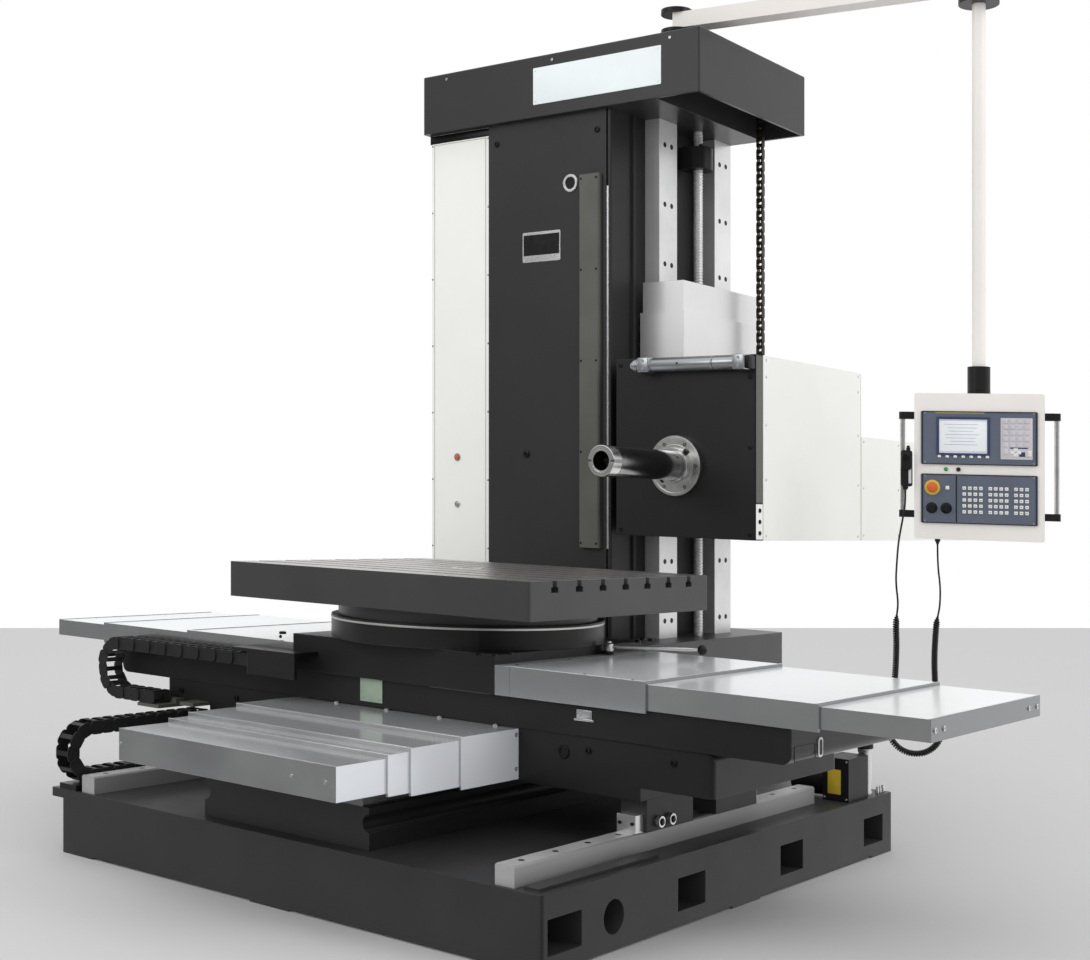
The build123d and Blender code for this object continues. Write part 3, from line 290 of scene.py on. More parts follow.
        "spread": 0.04, "grain": 1500, "bump": 0.01, "edgeTone": "eef2f0",
    },
    "screenFaint": {
        "slot": "panel_plastic", "tone": "d3dbe2", "worn": "c6d0da", "patch": 9.0, "rough": 0.2,
        "spread": 0.04, "grain": 1500, "bump": 0.01, "edgeTone": "e4eaf0",
    },
    "oliveStrip": {
        "slot": "panel_plastic", "tone": "a3965a", "worn": "8f834c", "patch": 20.0, "rough": 0.4,
        "spread": 0.06, "grain": 1200, "bump": 0.02, "edgeTone": "b8ab6e",
    },
    "tableIron": {
        "slot": "table_iron", "tone": "3d3d3d", "worn": "303031", "patch": 2.0, "rough": 0.42,
        "spread": 0.14, "metal": 0.1, "grain": 320, "bump": 0.14, "edge": 0.002, "edgeTone": "8c8c8c",
        "top": {"level": 0.988, "tone": "b9b6b5", "worn": "8f8c8c", "patch": 5.0},
    },
}


def shade(text):  # a screen colour such as 3b3b3b as linear light
    parts = [int(text[place:place + 2], 16) / 255 for place in (0, 2, 4)]
    return tuple(part / 12.92 if part < 0.04045 else ((part + 0.055) / 1.055) ** 2.4 for part in parts) + (1,)


def startGroup(name, inputs, outputs):
    group = bpy.data.node_groups.new(name, "ShaderNodeTree")
    for label, kind, value in inputs:
        socket = group.interface.new_socket(name=label, in_out="INPUT", socket_type="NodeSocket" + kind)
        socket.default_value = value
    for label, kind in outputs:
        group.interface.new_socket(name=label, in_out="OUTPUT", socket_type="NodeSocket" + kind)
    return group, group.nodes.new("NodeGroupInput"), group.nodes.new("NodeGroupOutput")


def addNode(tree, kind, values=(), **settings):
    node = tree.nodes.new("ShaderNode" + kind)
    for key, value in settings.items():
        setattr(node, key, value)
    for label, value in dict(values).items():
        node.inputs[label].default_value = value
    return node


def ownPlace(tree):  # where a point lies on its own object
    return addNode(tree, "TexCoord").outputs["Object"]


def addNoise(tree, place, scale, detail):
    noise = addNode(tree, "TexNoise", {"Detail": detail, "Roughness": 0.6})
    tree.links.new(place, noise.inputs["Vector"])
    if isinstance(scale, float):
        noise.inputs["Scale"].default_value = scale
    else:
        tree.links.new(scale, noise.inputs["Scale"])
    return noise.outputs["Fac"]


def addMath(tree, operation, first, second=0.0, third=0.0):
    node = addNode(tree, "Math", operation=operation)
    for socket, value in zip(node.inputs, (first, second, third)):
        if isinstance(value, (int, float)):
            socket.default_value = value
        else:
            tree.links.new(value, socket)
    return node.outputs[0]


def addMix(tree, share, first, second, kind="RGBA"):
    node = addNode(tree, "Mix", data_type=kind)
    ends = [socket for socket in node.inputs if socket.name in "AB" and socket.enabled]
    for socket, value in zip(ends, (first, second)):
        if isinstance(value, bpy.types.NodeSocket):
            tree.links.new(value, socket)
        else:
            socket.default_value = value
    tree.links.new(share, node.inputs[0])
    return next(socket for socket in node.outputs if socket.enabled)


def addRange(tree, value, low, high):
    node = addNode(tree, "MapRange", {"From Min": low, "From Max": high})
    tree.links.new(value, node.inputs["Value"])
    return node.outputs["Result"]


def makePatches():  # cloudy change of tone
    group, ins, outs = startGroup(
        "patches",
        [("Tone", "Color", (0.5, 0.5, 0.5, 1)), ("Worn", "Color", (0.4, 0.4, 0.4, 1)),
         ("Scale", "Float", 3), ("Amount", "Float", 0.5)],
        [("Colour", "Color")],
    )
    place = ownPlace(group)
    cloud = addRange(group, addNoise(group, place, ins.outputs["Scale"], 5), 0.38, 0.68)
    share = addMath(group, "MULTIPLY", cloud, ins.outputs["Amount"])
    group.links.new(addMix(group, share, ins.outputs["Tone"], ins.outputs["Worn"]), outs.inputs["Colour"])
    return group


def smearRoughness(group, marks, ins, outs):  # roughness that goes up and down with the marks
    smear = addMath(group, "SUBTRACT", marks, 0.5)
    rough = addMath(group, "MULTIPLY_ADD", smear, ins.outputs["Spread"], ins.outputs["Rough"])
    group.links.new(rough, outs.inputs["Roughness"])


def makeGrain():  # fine orange peel of paint or plastic
    group, ins, outs = startGroup(
        "grain",
        [("Scale", "Float", 300), ("Rough", "Float", 0.4), ("Spread", "Float", 0.1)],
        [("Roughness", "Float"), ("Height", "Float")],
    )
    place = ownPlace(group)
    group.links.new(addNoise(group, place, ins.outputs["Scale"], 2), outs.inputs["Height"])
    smearRoughness(group, addNoise(group, place, 7.0, 4), ins, outs)
    return group


def makeBrushing():  # long marks of a grinder or a brush
    group, ins, outs = startGroup(
        "brushing",
        [("Stretch", "Vector", (900, 900, 6)), ("Rough", "Float", 0.25), ("Spread", "Float", 0.1),
         ("Ripple", "Float", 0.0)],
        [("Roughness", "Float"), ("Height", "Float")],
    )
    place = ownPlace(group)
    mapping = addNode(group, "Mapping")
    group.links.new(place, mapping.inputs["Vector"])
    group.links.new(ins.outputs["Stretch"], mapping.inputs["Scale"])
    marks = addNoise(group, mapping.outputs["Vector"], 1.0, 3)
    wave = addMath(group, "MULTIPLY", addNoise(group, place, 4.5, 1), ins.outputs["Ripple"])
    sheet = addMath(group, "MULTIPLY", wave, 8.0)
    group.links.new(addMath(group, "MULTIPLY_ADD", marks, 0.06, sheet), outs.inputs["Height"])
    smearRoughness(group, marks, ins, outs)
    return group


def makeTurning():  # rings that a lathe leaves round the spindle axis
    group, ins, outs = startGroup(
        "turning",
        [("Centre", "Vector", (0, 0, 0)), ("Rough", "Float", 0.25), ("Spread", "Float", 0.1)],
        [("Roughness", "Float"), ("Height", "Float")],
    )
    place = ownPlace(group)
    mapping = addNode(group, "Mapping")
    group.links.new(place, mapping.inputs["Vector"])
    group.links.new(ins.outputs["Centre"], mapping.inputs["Location"])
    rings = addNode(
        group, "TexWave", {"Scale": 45.0, "Distortion": 0.6, "Detail": 3.0, "Detail Scale": 4.0},
        wave_type="RINGS", rings_direction="Y",
    )
    group.links.new(mapping.outputs["Vector"], rings.inputs["Vector"])
    group.links.new(addMath(group, "MULTIPLY", rings.outputs["Fac"], 0.1), outs.inputs["Height"])
    smearRoughness(group, rings.outputs["Fac"], ins, outs)
    return group


def makeEdges():  # soft edges, and a mask where they are rubbed, which also paints a highlight along the edges
    group, ins, outs = startGroup(
        "edges", [("Radius", "Float", 0.002)], [("Mask", "Float"), ("Normal", "Vector")]
    )
    rounded = addNode(group, "Bevel", samples=4)
    group.links.new(ins.outputs["Radius"], rounded.inputs["Radius"])
    flat = addNode(group, "NewGeometry")
    turn = addNode(group, "VectorMath", operation="DOT_PRODUCT")
    group.links.new(rounded.outputs["Normal"], turn.inputs[0])
    group.links.new(flat.outputs["Normal"], turn.inputs[1])
    place = ownPlace(group)
    patchy = addRange(group, addNoise(group, place, 18.0, 4), 0.42, 0.62)
    corner = addRange(group, addMath(group, "SUBTRACT", 1.0, turn.outputs["Value"]), 0.03, 0.3)
    group.links.new(addMath(group, "MULTIPLY", corner, patchy), outs.inputs["Mask"])
    group.links.new(rounded.outputs["Normal"], outs.inputs["Normal"])
    return group


groups = {
    "patches": makePatches(), "grain": makeGrain(), "brushing": makeBrushing(), "turning": makeTurning(),
    "edges": makeEdges(),
}
edgeShare = 0.55


def useGroup(tree, name, values):
    node = tree.nodes.new("ShaderNodeGroup")
    node.node_tree = groups[name]
    for label, value in values.items():
        node.inputs[label].default_value = value
    return node.outputs


def mixPaint(name, finish):
    finish = {**plainFinish, **finish}
    material = bpy.data.materials.new(name)
    material.use_nodes = True
    tree = material.node_tree
    shader = tree.nodes["Principled BSDF"]
    colour = useGroup(tree, "patches", {
        "Tone": shade(finish["tone"]), "Worn": shade(finish["worn"]), "Scale": finish["patch"],
        "Amount": finish["amount"],
    })["Colour"]
    marks = {"Rough": finish["rough"], "Spread": finish["spread"]}
    if "stretch" in finish:
        texture = useGroup(tree, "brushing", {
            "Stretch": finish["stretch"], "Ripple": finish["ripple"], **marks,
        })
    elif "turned" in finish:
        texture = useGroup(tree, "turning", {"Centre": finish["turned"], **marks})
    else:
        texture = useGroup(tree, "grain", {"Scale": finish["grain"], **marks})
    edges = useGroup(tree, "edges", {"Radius": finish["edge"]})
    # edge wear and painted highlight: masked edges take the edge tone, mostly lighter than the face
    rubbedAndLitEdges = addMath(tree, "MULTIPLY", edges["Mask"], edgeShare)
    colour = addMix(tree, rubbedAndLitEdges, colour, shade(finish["edgeTone"]))
    metal = finish["metal"]
    shader.inputs["Metallic"].default_value = metal
    shader.inputs["Specular IOR Level"].default_value = finish["gloss"]
    rough = texture["Roughness"]
    if "top" in finish:  # a machined top over painted sides
        top = finish["top"]
        height = addNode(tree, "SeparateXYZ")
        tree.links.new(ownPlace(tree), height.inputs[0])
        above = addMath(tree, "GREATER_THAN", height.outputs["Z"], top["level"])
        planed = useGroup(tree, "patches", {
            "Tone": shade(top["tone"]), "Worn": shade(top["worn"]), "Scale": top["patch"], "Amount": 0.7,
        })["Colour"]
        colour = addMix(tree, above, colour, planed)
        rough = addMix(tree, above, rough, top.get("rough", 0.3), "FLOAT")
        tree.links.new(addMath(tree, "MULTIPLY", above, top.get("metal", 0.9)), shader.inputs["Metallic"])
    for label, axis in (("paintedTopLight", "Z"), ("paintedSideShading", "X")):  # painted light and shade: faces that look up or right take their own lighter or darker tone and metal, standing in for how light falls on them
        if label in finish:
            facing = addNode(tree, "SeparateXYZ")
            tree.links.new(addNode(tree, "TexCoord").outputs["Normal"], facing.inputs[0])
            share = addMath(tree, "GREATER_THAN", facing.outputs[axis], 0.7)
            share = addMath(tree, "MULTIPLY", share, finish[label].get("share", 1.0))
            colour = addMix(tree, share, colour, shade(finish[label]["tone"]))
            metal = addMix(tree, share, metal, finish[label].get("metal", finish["metal"]), "FLOAT")
            tree.links.new(metal, shader.inputs["Metallic"])
    bump = addNode(tree, "Bump", {"Strength": finish["bump"], "Distance": 0.001})
    tree.links.new(texture["Height"], bump.inputs["Height"])
    tree.links.new(edges["Normal"], bump.inputs["Normal"])
    tree.links.new(colour, shader.inputs["Base Color"])
    tree.links.new(rough, shader.inputs["Roughness"])
    tree.links.new(bump.outputs["Normal"], shader.inputs["Normal"])
    return material


paints = {name: mixPaint(name, finish) for name, finish in finishes.items()}
print("finishes mixed")

nodePaints = {
    "castingPaint": "bed raised_bed outrigger_shoes",
    "darkPaint": (
        "cross_chain_arm saddle_chain_tray saddle cross_beam table_slide headstock screw_bearing arm_pivot "
        "arm_fittings pendant_coupling"
    ),
    "columnPaint": "column",
    "columnBaseLitPaint": "column_base",
    "capPaint": "column_cap",
    "whitePaint": "counterweight_housing headstock_cover spindle_tail_cover",
    "lightPaint": "swing_arm arm_pole pendant_box",
    "greyPaint": "scale_guard saddle_brackets",
    "groundSteel": "column_guides head_screw",
    "guardSheet": "way_guard",
    "wayAlongY": "saddle_ways",
    "railSteel": "outrigger_rails",
    "wayAlongX": "cross_ways",
    "coverSheet": "slide_covers right_cover left_cover end_covers",
    "frontSheet": "front_cover_1 front_cover_2 front_cover_3 front_cover_4",
    "noseSteel": "milling_spindle",
    "plainSteel": "oil_filter rail_fittings clamp_lever work_lamp pendant_handles scale_strip",
    "spindleSteel": "boring_spindle",
    "darkSteel": "chain_anchor",
    "tableIron": "rotary_table",
    "chainPlastic": "saddle_cable_chain cross_cable_chain",
    "chainSteel": "counterweight_chain",
    "blackPlastic": "feed_motor hand_unit cord_gland handle_brackets",
    "panelPlastic": "pendant_panels",
    "cordRubber": "cord_pendant_lead cord_curl cord_hand_lead",
}
for paint, names in nodePaints.items():
    for name in names.split():
        for place in nodes[name].material_slots:
            place.material = paints[paint]
print("frame painted")


# Shapes that the pieces below share
toFront, toBack, toRight, toLeft, toTop = (0, -1, 0), (0, 1, 0), (1, 0, 0), (-1, 0, 0), (0, 0, 1)


def row(start, pitch, count):  # places at an even pitch
    return [start + pitch * step for step in range(count)]


def block(bm, low, high, bevel=0.0, segments=2):
    low, high = Vector(low), Vector(high)
    place = Matrix.Translation((low + high) / 2) @ Matrix.Diagonal((*(high - low), 1))
    made = bmesh.ops.create_cube(bm, size=1, matrix=place)["verts"]
    if bevel:
        edges = list({edge for vert in made for edge in vert.link_edges})
        bmesh.ops.bevel(
            bm, geom=edges, offset=bevel, segments=segments, affect="EDGES", profile=0.5, material=-1,
        )


def standing(base, way):  # a frame at base whose z runs along way
    return Matrix.Translation(base) @ Vector(way).to_track_quat("Z", "Y").to_matrix().to_4x4()


def turned(bm, base, way, profile, sides=32, closed=False):  # profile: (along, radius) pairs
    place = standing(base, way)
    old = set(bm.verts)
    verts = [bm.verts.new(place @ Vector((radius, 0, along))) for along, radius in profile]
    pairs = list(zip(verts, verts[1:])) + ([(verts[-1], verts[0])] if closed else [])
    edges = [bm.edges.new(pair) for pair in pairs]
    axis = place.to_3x3() @ Vector((0, 0, 1))
    bmesh.ops.spin(
        bm, geom=verts + edges, cent=place.translation, axis=axis, angle=math.tau, steps=sides,
        use_merge=True,
    )
    fresh = [vert for vert in bm.verts if vert not in old]
    bmesh.ops.remove_doubles(bm, verts=fresh, dist=1e-6)


def rod(bm, start, end, radius, sides=24):
    start, end = Vector(start), Vector(end)
    length = (end - start).length
    turned(bm, start, end - start, [(0, 0), (0, radius), (length, radius), (length, 0)], sides)


def stud(bm, place, way, radius, top, height, sides):  # a low round head that narrows to top
    turned(bm, place, way, [(0, 0), (0, radius), (height, top), (height, 0)], sides)


def ring(bm, place, way, inner, outer, height, sides):
    turned(bm, place, way, [(0, inner), (0, outer), (height, outer), (height, inner)], sides, closed=True)


def bolt(bm, place, way, radius, height, sides=14):  # a cap screw with its socket
    turned(bm, place, way, [
        (-0.0006, 0), (-0.0006, radius), (height * 0.8, radius), (height, radius * 0.85),
        (height, radius * 0.5), (height * 0.45, radius * 0.45), (height * 0.45, 0),
    ], sides)


def plate(bm, frame, outline, thickness, bevel=0.0):  # an outline in frame's x and y, raised along its z
    verts = [bm.verts.new(frame @ Vector((x, y, 0))) for x, y in outline]
    face = bm.faces.new(verts)
    raised = bmesh.ops.extrude_face_region(bm, geom=[face])["geom"]
    top = [part for part in raised if isinstance(part, bmesh.types.BMVert)]
    bmesh.ops.translate(bm, verts=top, vec=frame.to_3x3() @ Vector((0, 0, thickness)))
    if bevel:
        edges = [part for part in raised if isinstance(part, bmesh.types.BMEdge)]
        bmesh.ops.bevel(bm, geom=edges, offset=bevel, segments=2, affect="EDGES", profile=0.5, material=-1)


def softOblong(width, height, corner, steps=5):  # an outline with round corners, anticlockwise
    outline = []
    for number, (x, y) in enumerate(((1, 1), (-1, 1), (-1, -1), (1, -1))):
        for step in range(steps + 1):
            angle = math.radians(90 * (number + step / steps))
            outline.append((
                x * (width / 2 - corner) + corner * math.cos(angle),
                y * (height / 2 - corner) + corner * math.sin(angle),
            ))
    return outline


def keep(bm, name, body, paint, stands=(), crease=35):
    bmesh.ops.recalc_face_normals(bm, faces=bm.faces)
    mesh = bpy.data.meshes.new(name)
    bm.to_mesh(mesh)
    bm.free()
    mesh.materials.append(paints[paint])
    mesh.shade_smooth()
    mesh.set_sharp_from_angle(angle=math.radians(crease))
    piece = bpy.data.objects.new(name, mesh)
    bpy.context.scene.collection.objects.link(piece)
    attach(piece, body)
    if stands:
        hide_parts(*stands)
    return piece


# Curly cord of the hand unit. Points are in millimetres across the pendant, forward of its middle and
# up from its underside.
cord = {
    "lead": (
        (-144, 0, -20), (-144, 0, -95), (-134, 4, -170), (-135, 9, -240), (-142, 11.5, -276),
    ),
    "curl": (
        (-149, 14, -312), (-157, 26, -470), (-140, 38, -640), (-127, 44, -720), (-182.7, 50, -776),
        (-261.3, 56, -776), (-317, 62, -720), (-305, 66, -640), (-291, 69, -520), (-285, 72, -390),
        (-288, 74, -310), (-283.5, 75, -272.5),
    ),
    "handLead": (
        (-279, 76, -235), (-288, 78, -160), (-284, 79, -90), (-279, 78.5, -20), (-267, 78, 50),
        (-254, 78, 115), (-254, 78, 172),
    ),
    "diameter": 0.007,
    "coil": 0.0088,  # from the middle of the curl to the middle of the wire
    "pitch": 0.0082,
    "turnPoints": 14,
    "ease": 0.03,  # over which the coil opens and closes
    "leadStep": 0.006,
}
pendant = {"turn": 22.0, "low": 1.135, "hang": (0.98168, 0.46397), "face": 0.075, "panel": 0.081}


def pendantFrame(across, forward, up):  # seen from its front: x to the right, y up and z forward
    turn = math.radians(pendant["turn"])
    right = Vector((math.cos(turn), math.sin(turn), 0))
    front = Vector((math.sin(turn), -math.cos(turn), 0))
    base = Vector((*pendant["hang"], pendant["low"])) + right * across + front * forward + Vector((0, 0, up))
    return Matrix((
        (right.x, 0, front.x, base.x), (right.y, 0, front.y, base.y), (right.z, 1, front.z, base.z),
        (0, 0, 0, 1),
    ))


def turnedOn(bm, place, profile, sides):  # turned round the z of a frame
    turned(bm, place.translation, place.to_3x3() @ Vector((0, 0, 1)), profile, sides)


def splinePoints(points, resolution):  # the line of the NURBS spline through a route
    data = bpy.data.curves.new("route", "CURVE")
    data.dimensions = "3D"
    data.resolution_u = resolution
    spline = data.splines.new("NURBS")
    spline.points.add(len(points) - 1)
    for target, point in zip(spline.points, points):
        target.co = (*point, 1)
    spline.order_u = 3
    spline.use_endpoint_u = True
    holder = bpy.data.objects.new("route", data)
    bpy.context.scene.collection.objects.link(holder)
    line = [vert.co.copy() for vert in bpy.data.meshes.new_from_object(holder).vertices]
    bpy.data.objects.remove(holder)
    return line


def evenWalk(line):  # place and heading at a distance along a line
    lengths = [0.0]
    for first, second in zip(line, line[1:]):
        lengths.append(lengths[-1] + (second - first).length)

    def at(distance):
        spot = min(max(distance, 0.0), lengths[-1] - 1e-9)
        low, high = 0, len(lengths) - 1
        while high - low > 1:
            middle = (low + high) // 2
            low, high = (middle, high) if lengths[middle] <= spot else (low, middle)
        share = (spot - lengths[low]) / (lengths[high] - lengths[low])
        return line[low].lerp(line[high], share), (line[high] - line[low]).normalized()

    return at, lengths[-1]


def nearest(line, target):  # distance along the line to the point nearest to target
    total, best, found = 0.0, 9.0, 0.0
    for first, second in zip(line, line[1:]):
        if (first - target).length < best:
            best, found = (first - target).length, total
        total += (second - first).length
    return found


def makeGland():
    place = pendantFrame(cord["lead"][0][0] / 1000, 0, 0)
    bm = bmesh.new()
    turned(bm, place.translation, (0, 0, -1), [
        (0, 0), (0, 0.0105), (0.001, 0.011), (0.002, 0.011), (0.002, 0.0095), (0.0095, 0.0095),
        (0.010, 0.0090), (0.012, 0.0066), (0.018, 0.0052), (0.020, 0.0046), (0.020, 0),
    ], 24)
    return keep(bm, "cordGlandCone", "pendant", "blackPlastic", stands=("cord_gland",))


def makeCord():
    route = [
        pendantFrame(across / 1000, forward / 1000, up / 1000).translation
        for across, forward, up in cord["lead"] + cord["curl"] + cord["handLead"]
    ]
    line = splinePoints(route, 24)
    at, total = evenWalk(line)
    start = nearest(line, route[len(cord["lead"]) - 1])
    end = nearest(line, route[len(cord["lead"]) + len(cord["curl"]) - 1])
    side = Vector((1, 0, 0))
    wire, distance, phase = [], 0.0, 0.0
    while distance < total - 0.003:
        place, heading = at(distance)
        side = (side - heading * side.dot(heading)).normalized()
        inCurl = start < distance < end
        ease = min((distance - start) / cord["ease"], (end - distance) / cord["ease"], 1.0) if inCurl else 0.0
        reach = cord["coil"] * ease * ease * (3 - 2 * ease)
        wire.append(place + (side * math.cos(phase) + heading.cross(side) * math.sin(phase)) * reach)
        distance += cord["pitch"] / cord["turnPoints"] if inCurl else cord["leadStep"]
        phase += math.tau / cord["turnPoints"] if inCurl else 0.0
    wire.append(at(total)[0])
    data = bpy.data.curves.new("pendantCord", "CURVE")
    data.dimensions = "3D"
    data.resolution_u = 2
    data.bevel_depth = cord["diameter"] / 2
    data.bevel_resolution = 2
    data.use_fill_caps = True
    spline = data.splines.new("NURBS")
    spline.points.add(len(wire) - 1)
    for target, point in zip(spline.points, wire):
        target.co = (*point, 1)
    spline.order_u = 3
    spline.use_endpoint_u = True
    data.materials.append(paints["cordRubber"])
    piece = bpy.data.objects.new("pendantCord", data)
    bpy.context.scene.collection.objects.link(piece)
    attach(piece, "pendant")
    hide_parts("cord_pendant_lead", "cord_curl", "cord_hand_lead")
    makeGland()


makeCord()


# Cable chains: links along a loop that is seen from the side
cableChains = {
    "saddleChainLinks": {
        "node": "saddle_cable_chain", "body": "base", "across": (-1.320, -1.247), "along": (0, 1, 0),
        "side": (1, 0, 0), "nose": -1.790, "low": 0.232, "bend": 0.105, "upper": -1.196, "lower": -1.380,
    },
    "crossChainLinks": {
        "node": "cross_cable_chain", "body": "saddle", "across": (-1.306, -1.226), "along": (1, 0, 0),
        "side": (0, 1, 0), "nose": -1.745, "low": 0.447, "bend": 0.115, "upper": -0.905, "lower": -1.420,
    },
}
chainLink = {
    "height": 0.046, "pitch": 0.046, "overlap": 1.22, "corner": 0.016, "plate": 0.0035, "bar": 0.016,
    "barDepth": 0.004, "inside": 0.024, "pin": 0.006, "pinHead": 0.002, "pinSunk": 0.0008,
}


def linkFrames(chain):  # places and headings of the links along the loop, from the lower end to the upper one
    radius = chain["bend"] - chainLink["inside"]
    centre = (chain["nose"] + chain["bend"], chain["low"] + chain["bend"])
    lower = chain["lower"] - centre[0]
    upper = chain["upper"] - centre[0]
    total = lower + math.pi * radius + upper
    count = round(total / chainLink["pitch"])
    for number in range(count):
        spot = (number + 0.5) * total / count
        if spot < lower:
            yield chain["lower"] - spot, centre[1] - radius, (-1, 0)
        elif spot < lower + math.pi * radius:
            angle = -math.pi / 2 - (spot - lower) / radius
            yield (
                centre[0] + radius * math.cos(angle), centre[1] + radius * math.sin(angle),
                (math.sin(angle), -math.cos(angle)),
            )
        else:
            yield centre[0] + spot - lower - math.pi * radius, centre[1] + radius, (1, 0)


def makeCableChain(name, chain):
    bm = bmesh.new()
    along, side = Vector(chain["along"]), Vector(chain["side"])
    length = chainLink["pitch"] * chainLink["overlap"]
    outline = softOblong(length, chainLink["height"], chainLink["corner"], 4)
    first, last = chain["across"]
    for number, (x, z, (headX, headZ)) in enumerate(linkFrames(chain)):
        heading = along * headX + Vector((0, 0, headZ))
        base = along * x + Vector((0, 0, z))
        inset = (number % 2) * chainLink["plate"]
        for edge, way in ((first + inset, 1), (last - inset, -1)):
            out = side * way
            up = out.cross(heading)
            turn = Matrix((
                (heading.x, up.x, out.x), (heading.y, up.y, out.y), (heading.z, up.z, out.z),
            )).to_4x4()
            plate(bm, Matrix.Translation(base + side * edge) @ turn, outline, chainLink["plate"])
            pin = base + heading * (chainLink["pitch"] / 2) + side * (edge - way * chainLink["pinSunk"])
            stud(bm, pin, out, chainLink["pin"], chainLink["pin"], chainLink["pinHead"], 10)
        up = side.cross(heading)
        for level in (-1, 1):
            rise = level * (chainLink["height"] - chainLink["barDepth"]) / 2
            bar = base + side * ((first + last) / 2) + up * rise
            size = Vector((chainLink["bar"], last - first - 4 * chainLink["plate"], chainLink["barDepth"]))
            made = bmesh.ops.create_cube(bm, size=1, matrix=Matrix.Diagonal((*size, 1)))["verts"]
            turn = Matrix((
                (heading.x, side.x, up.x), (heading.y, side.y, up.y), (heading.z, side.z, up.z),
            )).to_4x4()
            bmesh.ops.transform(bm, matrix=Matrix.Translation(bar) @ turn, verts=made)
    keep(bm, name, chain["body"], "chainPlastic", stands=(chain["node"],))


for name, chain in cableChains.items():
    makeCableChain(name, chain)

# Roller chain of the counterweight, from inside the headstock up to the cap
rollerChain = {
    "x": -0.078, "y": 0.752, "foot": 1.287, "top": 2.899, "pitch": 0.0254, "plate": (0.023, 0.003),
    "inner": 0.0075, "outer": 0.0115, "roller": 0.0078, "pin": 0.004, "pinHalf": 0.0148,
    "waist": 0.94, "play": 0.0004,
}


def makeRollerChain():
    bm = bmesh.new()
    chain = rollerChain
    count = int((chain["top"] - chain["foot"] - chain["plate"][0]) / chain["pitch"])
    start = chain["top"] - chain["plate"][0] / 2 - count * chain["pitch"]
    height, thick = chain["plate"]
    outline = softOblong(height * chain["waist"], chain["pitch"] + height, height * 0.46, 5)
    for number in range(count + 1):
        z = start + number * chain["pitch"]
        pin = Vector((chain["x"], chain["y"], z))
        reach = Vector((chain["pinHalf"], 0, 0))
        rod(bm, pin - reach, pin + reach, chain["pin"], 10)
        gap = Vector((chain["inner"] - chain["play"], 0, 0))
        rod(bm, pin - gap, pin + gap, chain["roller"], 12)
        if number == count:
            break
        for side in (-1, 1):
            offset = chain["inner"] if number % 2 else chain["outer"]
            face = Matrix(((0, 0, side, 0), (1, 0, 0, 0), (0, 1, 0, 0), (0, 0, 0, 1)))
            place = Matrix.Translation((chain["x"] + side * offset, chain["y"], z + chain["pitch"] / 2))
            plate(bm, place @ face, outline, thick)
    piece = keep(bm, "counterweightRollerChain", "base", "chainSteel", stands=("counterweight_chain",))
    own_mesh(piece)


makeRollerChain()
print("chains linked")


# Sign, nameplate and small parts on the cap and the column
capSign = {
    "left": -0.716, "right": -0.100, "low": 2.828, "high": 2.976, "front": 0.036, "thick": 0.002,
    "corner": 0.003, "inset": 0.012, "boltFace": 0.0365, "boltLevel": 2.998,
    "boltPlaces": (-1.18, -0.62, -0.06),
}
namePlate = {
    "left": -0.794, "right": -0.601, "low": 2.199, "high": 2.321, "front": 0.066, "rim": 0.006,
    "thick": 0.0015,
}
rivet = [(0, 0.003), (0.0008, 0.0026), (0.0012, 0)]


def facing(x, y, z):  # a frame on a face towards -Y: x to the right, y up
    return Matrix(((1, 0, 0, x), (0, 0, -1, y), (0, 1, 0, z), (0, 0, 0, 1)))


def facingRight(x, y, z):  # a frame on a face towards +X: x to the back, y up
    return Matrix(((0, 0, 1, x), (1, 0, 0, y), (0, 1, 0, z), (0, 0, 0, 1)))


def signShape(sign):  # its middle in x and z, its width and its height
    middle = (sign["left"] + sign["right"]) / 2, (sign["low"] + sign["high"]) / 2
    return *middle, sign["right"] - sign["left"], sign["high"] - sign["low"]


def makeCapSign():
    x, z, width, height = signShape(capSign)
    bm = bmesh.new()
    outline = softOblong(width, height, capSign["corner"])
    plate(bm, facing(x, capSign["front"], z), outline, capSign["thick"], 0.0006)
    keep(bm, "capSignPlate", "base", "signWhite")
    bm = bmesh.new()
    inset = capSign["inset"]
    for x in (capSign["left"] + inset, capSign["right"] - inset):
        for z in (capSign["low"] + inset, capSign["high"] - inset):
            turned(bm, (x, capSign["front"] - capSign["thick"], z), toFront, rivet, 12)
    for x in capSign["boltPlaces"]:
        bolt(bm, (x, capSign["boltFace"], capSign["boltLevel"]), toFront, 0.006, 0.004)
    keep(bm, "capRivets", "base", "plainSteel")


def makeNamePlate():
    x, z, width, height = signShape(namePlate)
    place = facing(x, namePlate["front"], z)
    bm = bmesh.new()
    plate(bm, place, softOblong(width, height, 0.006), namePlate["thick"])
    line = place @ Matrix.Translation((0, 0, namePlate["thick"]))
    plate(bm, line, softOblong(width - 0.014, 0.004, 0.001, 2), 0.0004)
    for x in (-1, 1):
        tab = place @ Matrix.Translation((x * width * 0.24, -height * 0.36, 0.0018))
        plate(bm, tab, softOblong(width * 0.2, 0.011, 0.002, 2), 0.0006)
        for y in (-1, 1):
            spot = place @ Vector((x * (width / 2 - 0.008), y * (height / 2 - 0.008), namePlate["thick"]))
            turned(bm, spot, toFront, rivet, 12)
    keep(bm, "namePlateRim", "base", "plainSteel")
    bm = bmesh.new()
    rim = 2 * namePlate["rim"]
    for y, share in ((height * 0.2, 0.46), (-height * 0.14, 0.3)):
        field = place @ Matrix.Translation((0, y, 0.0016))
        plate(bm, field, softOblong(width - rim, (height - rim) * share, 0.003), 0.0005)
    keep(bm, "namePlateField", "base", "boltBlack")


columnEye = {"x": -0.550, "z": 2.502, "front": 0.066}
housing = {
    "left": -1.2855, "right": -1.0015, "front": 0.078, "middle": -1.156, "button": 1.405, "fold": 0.0015,
}


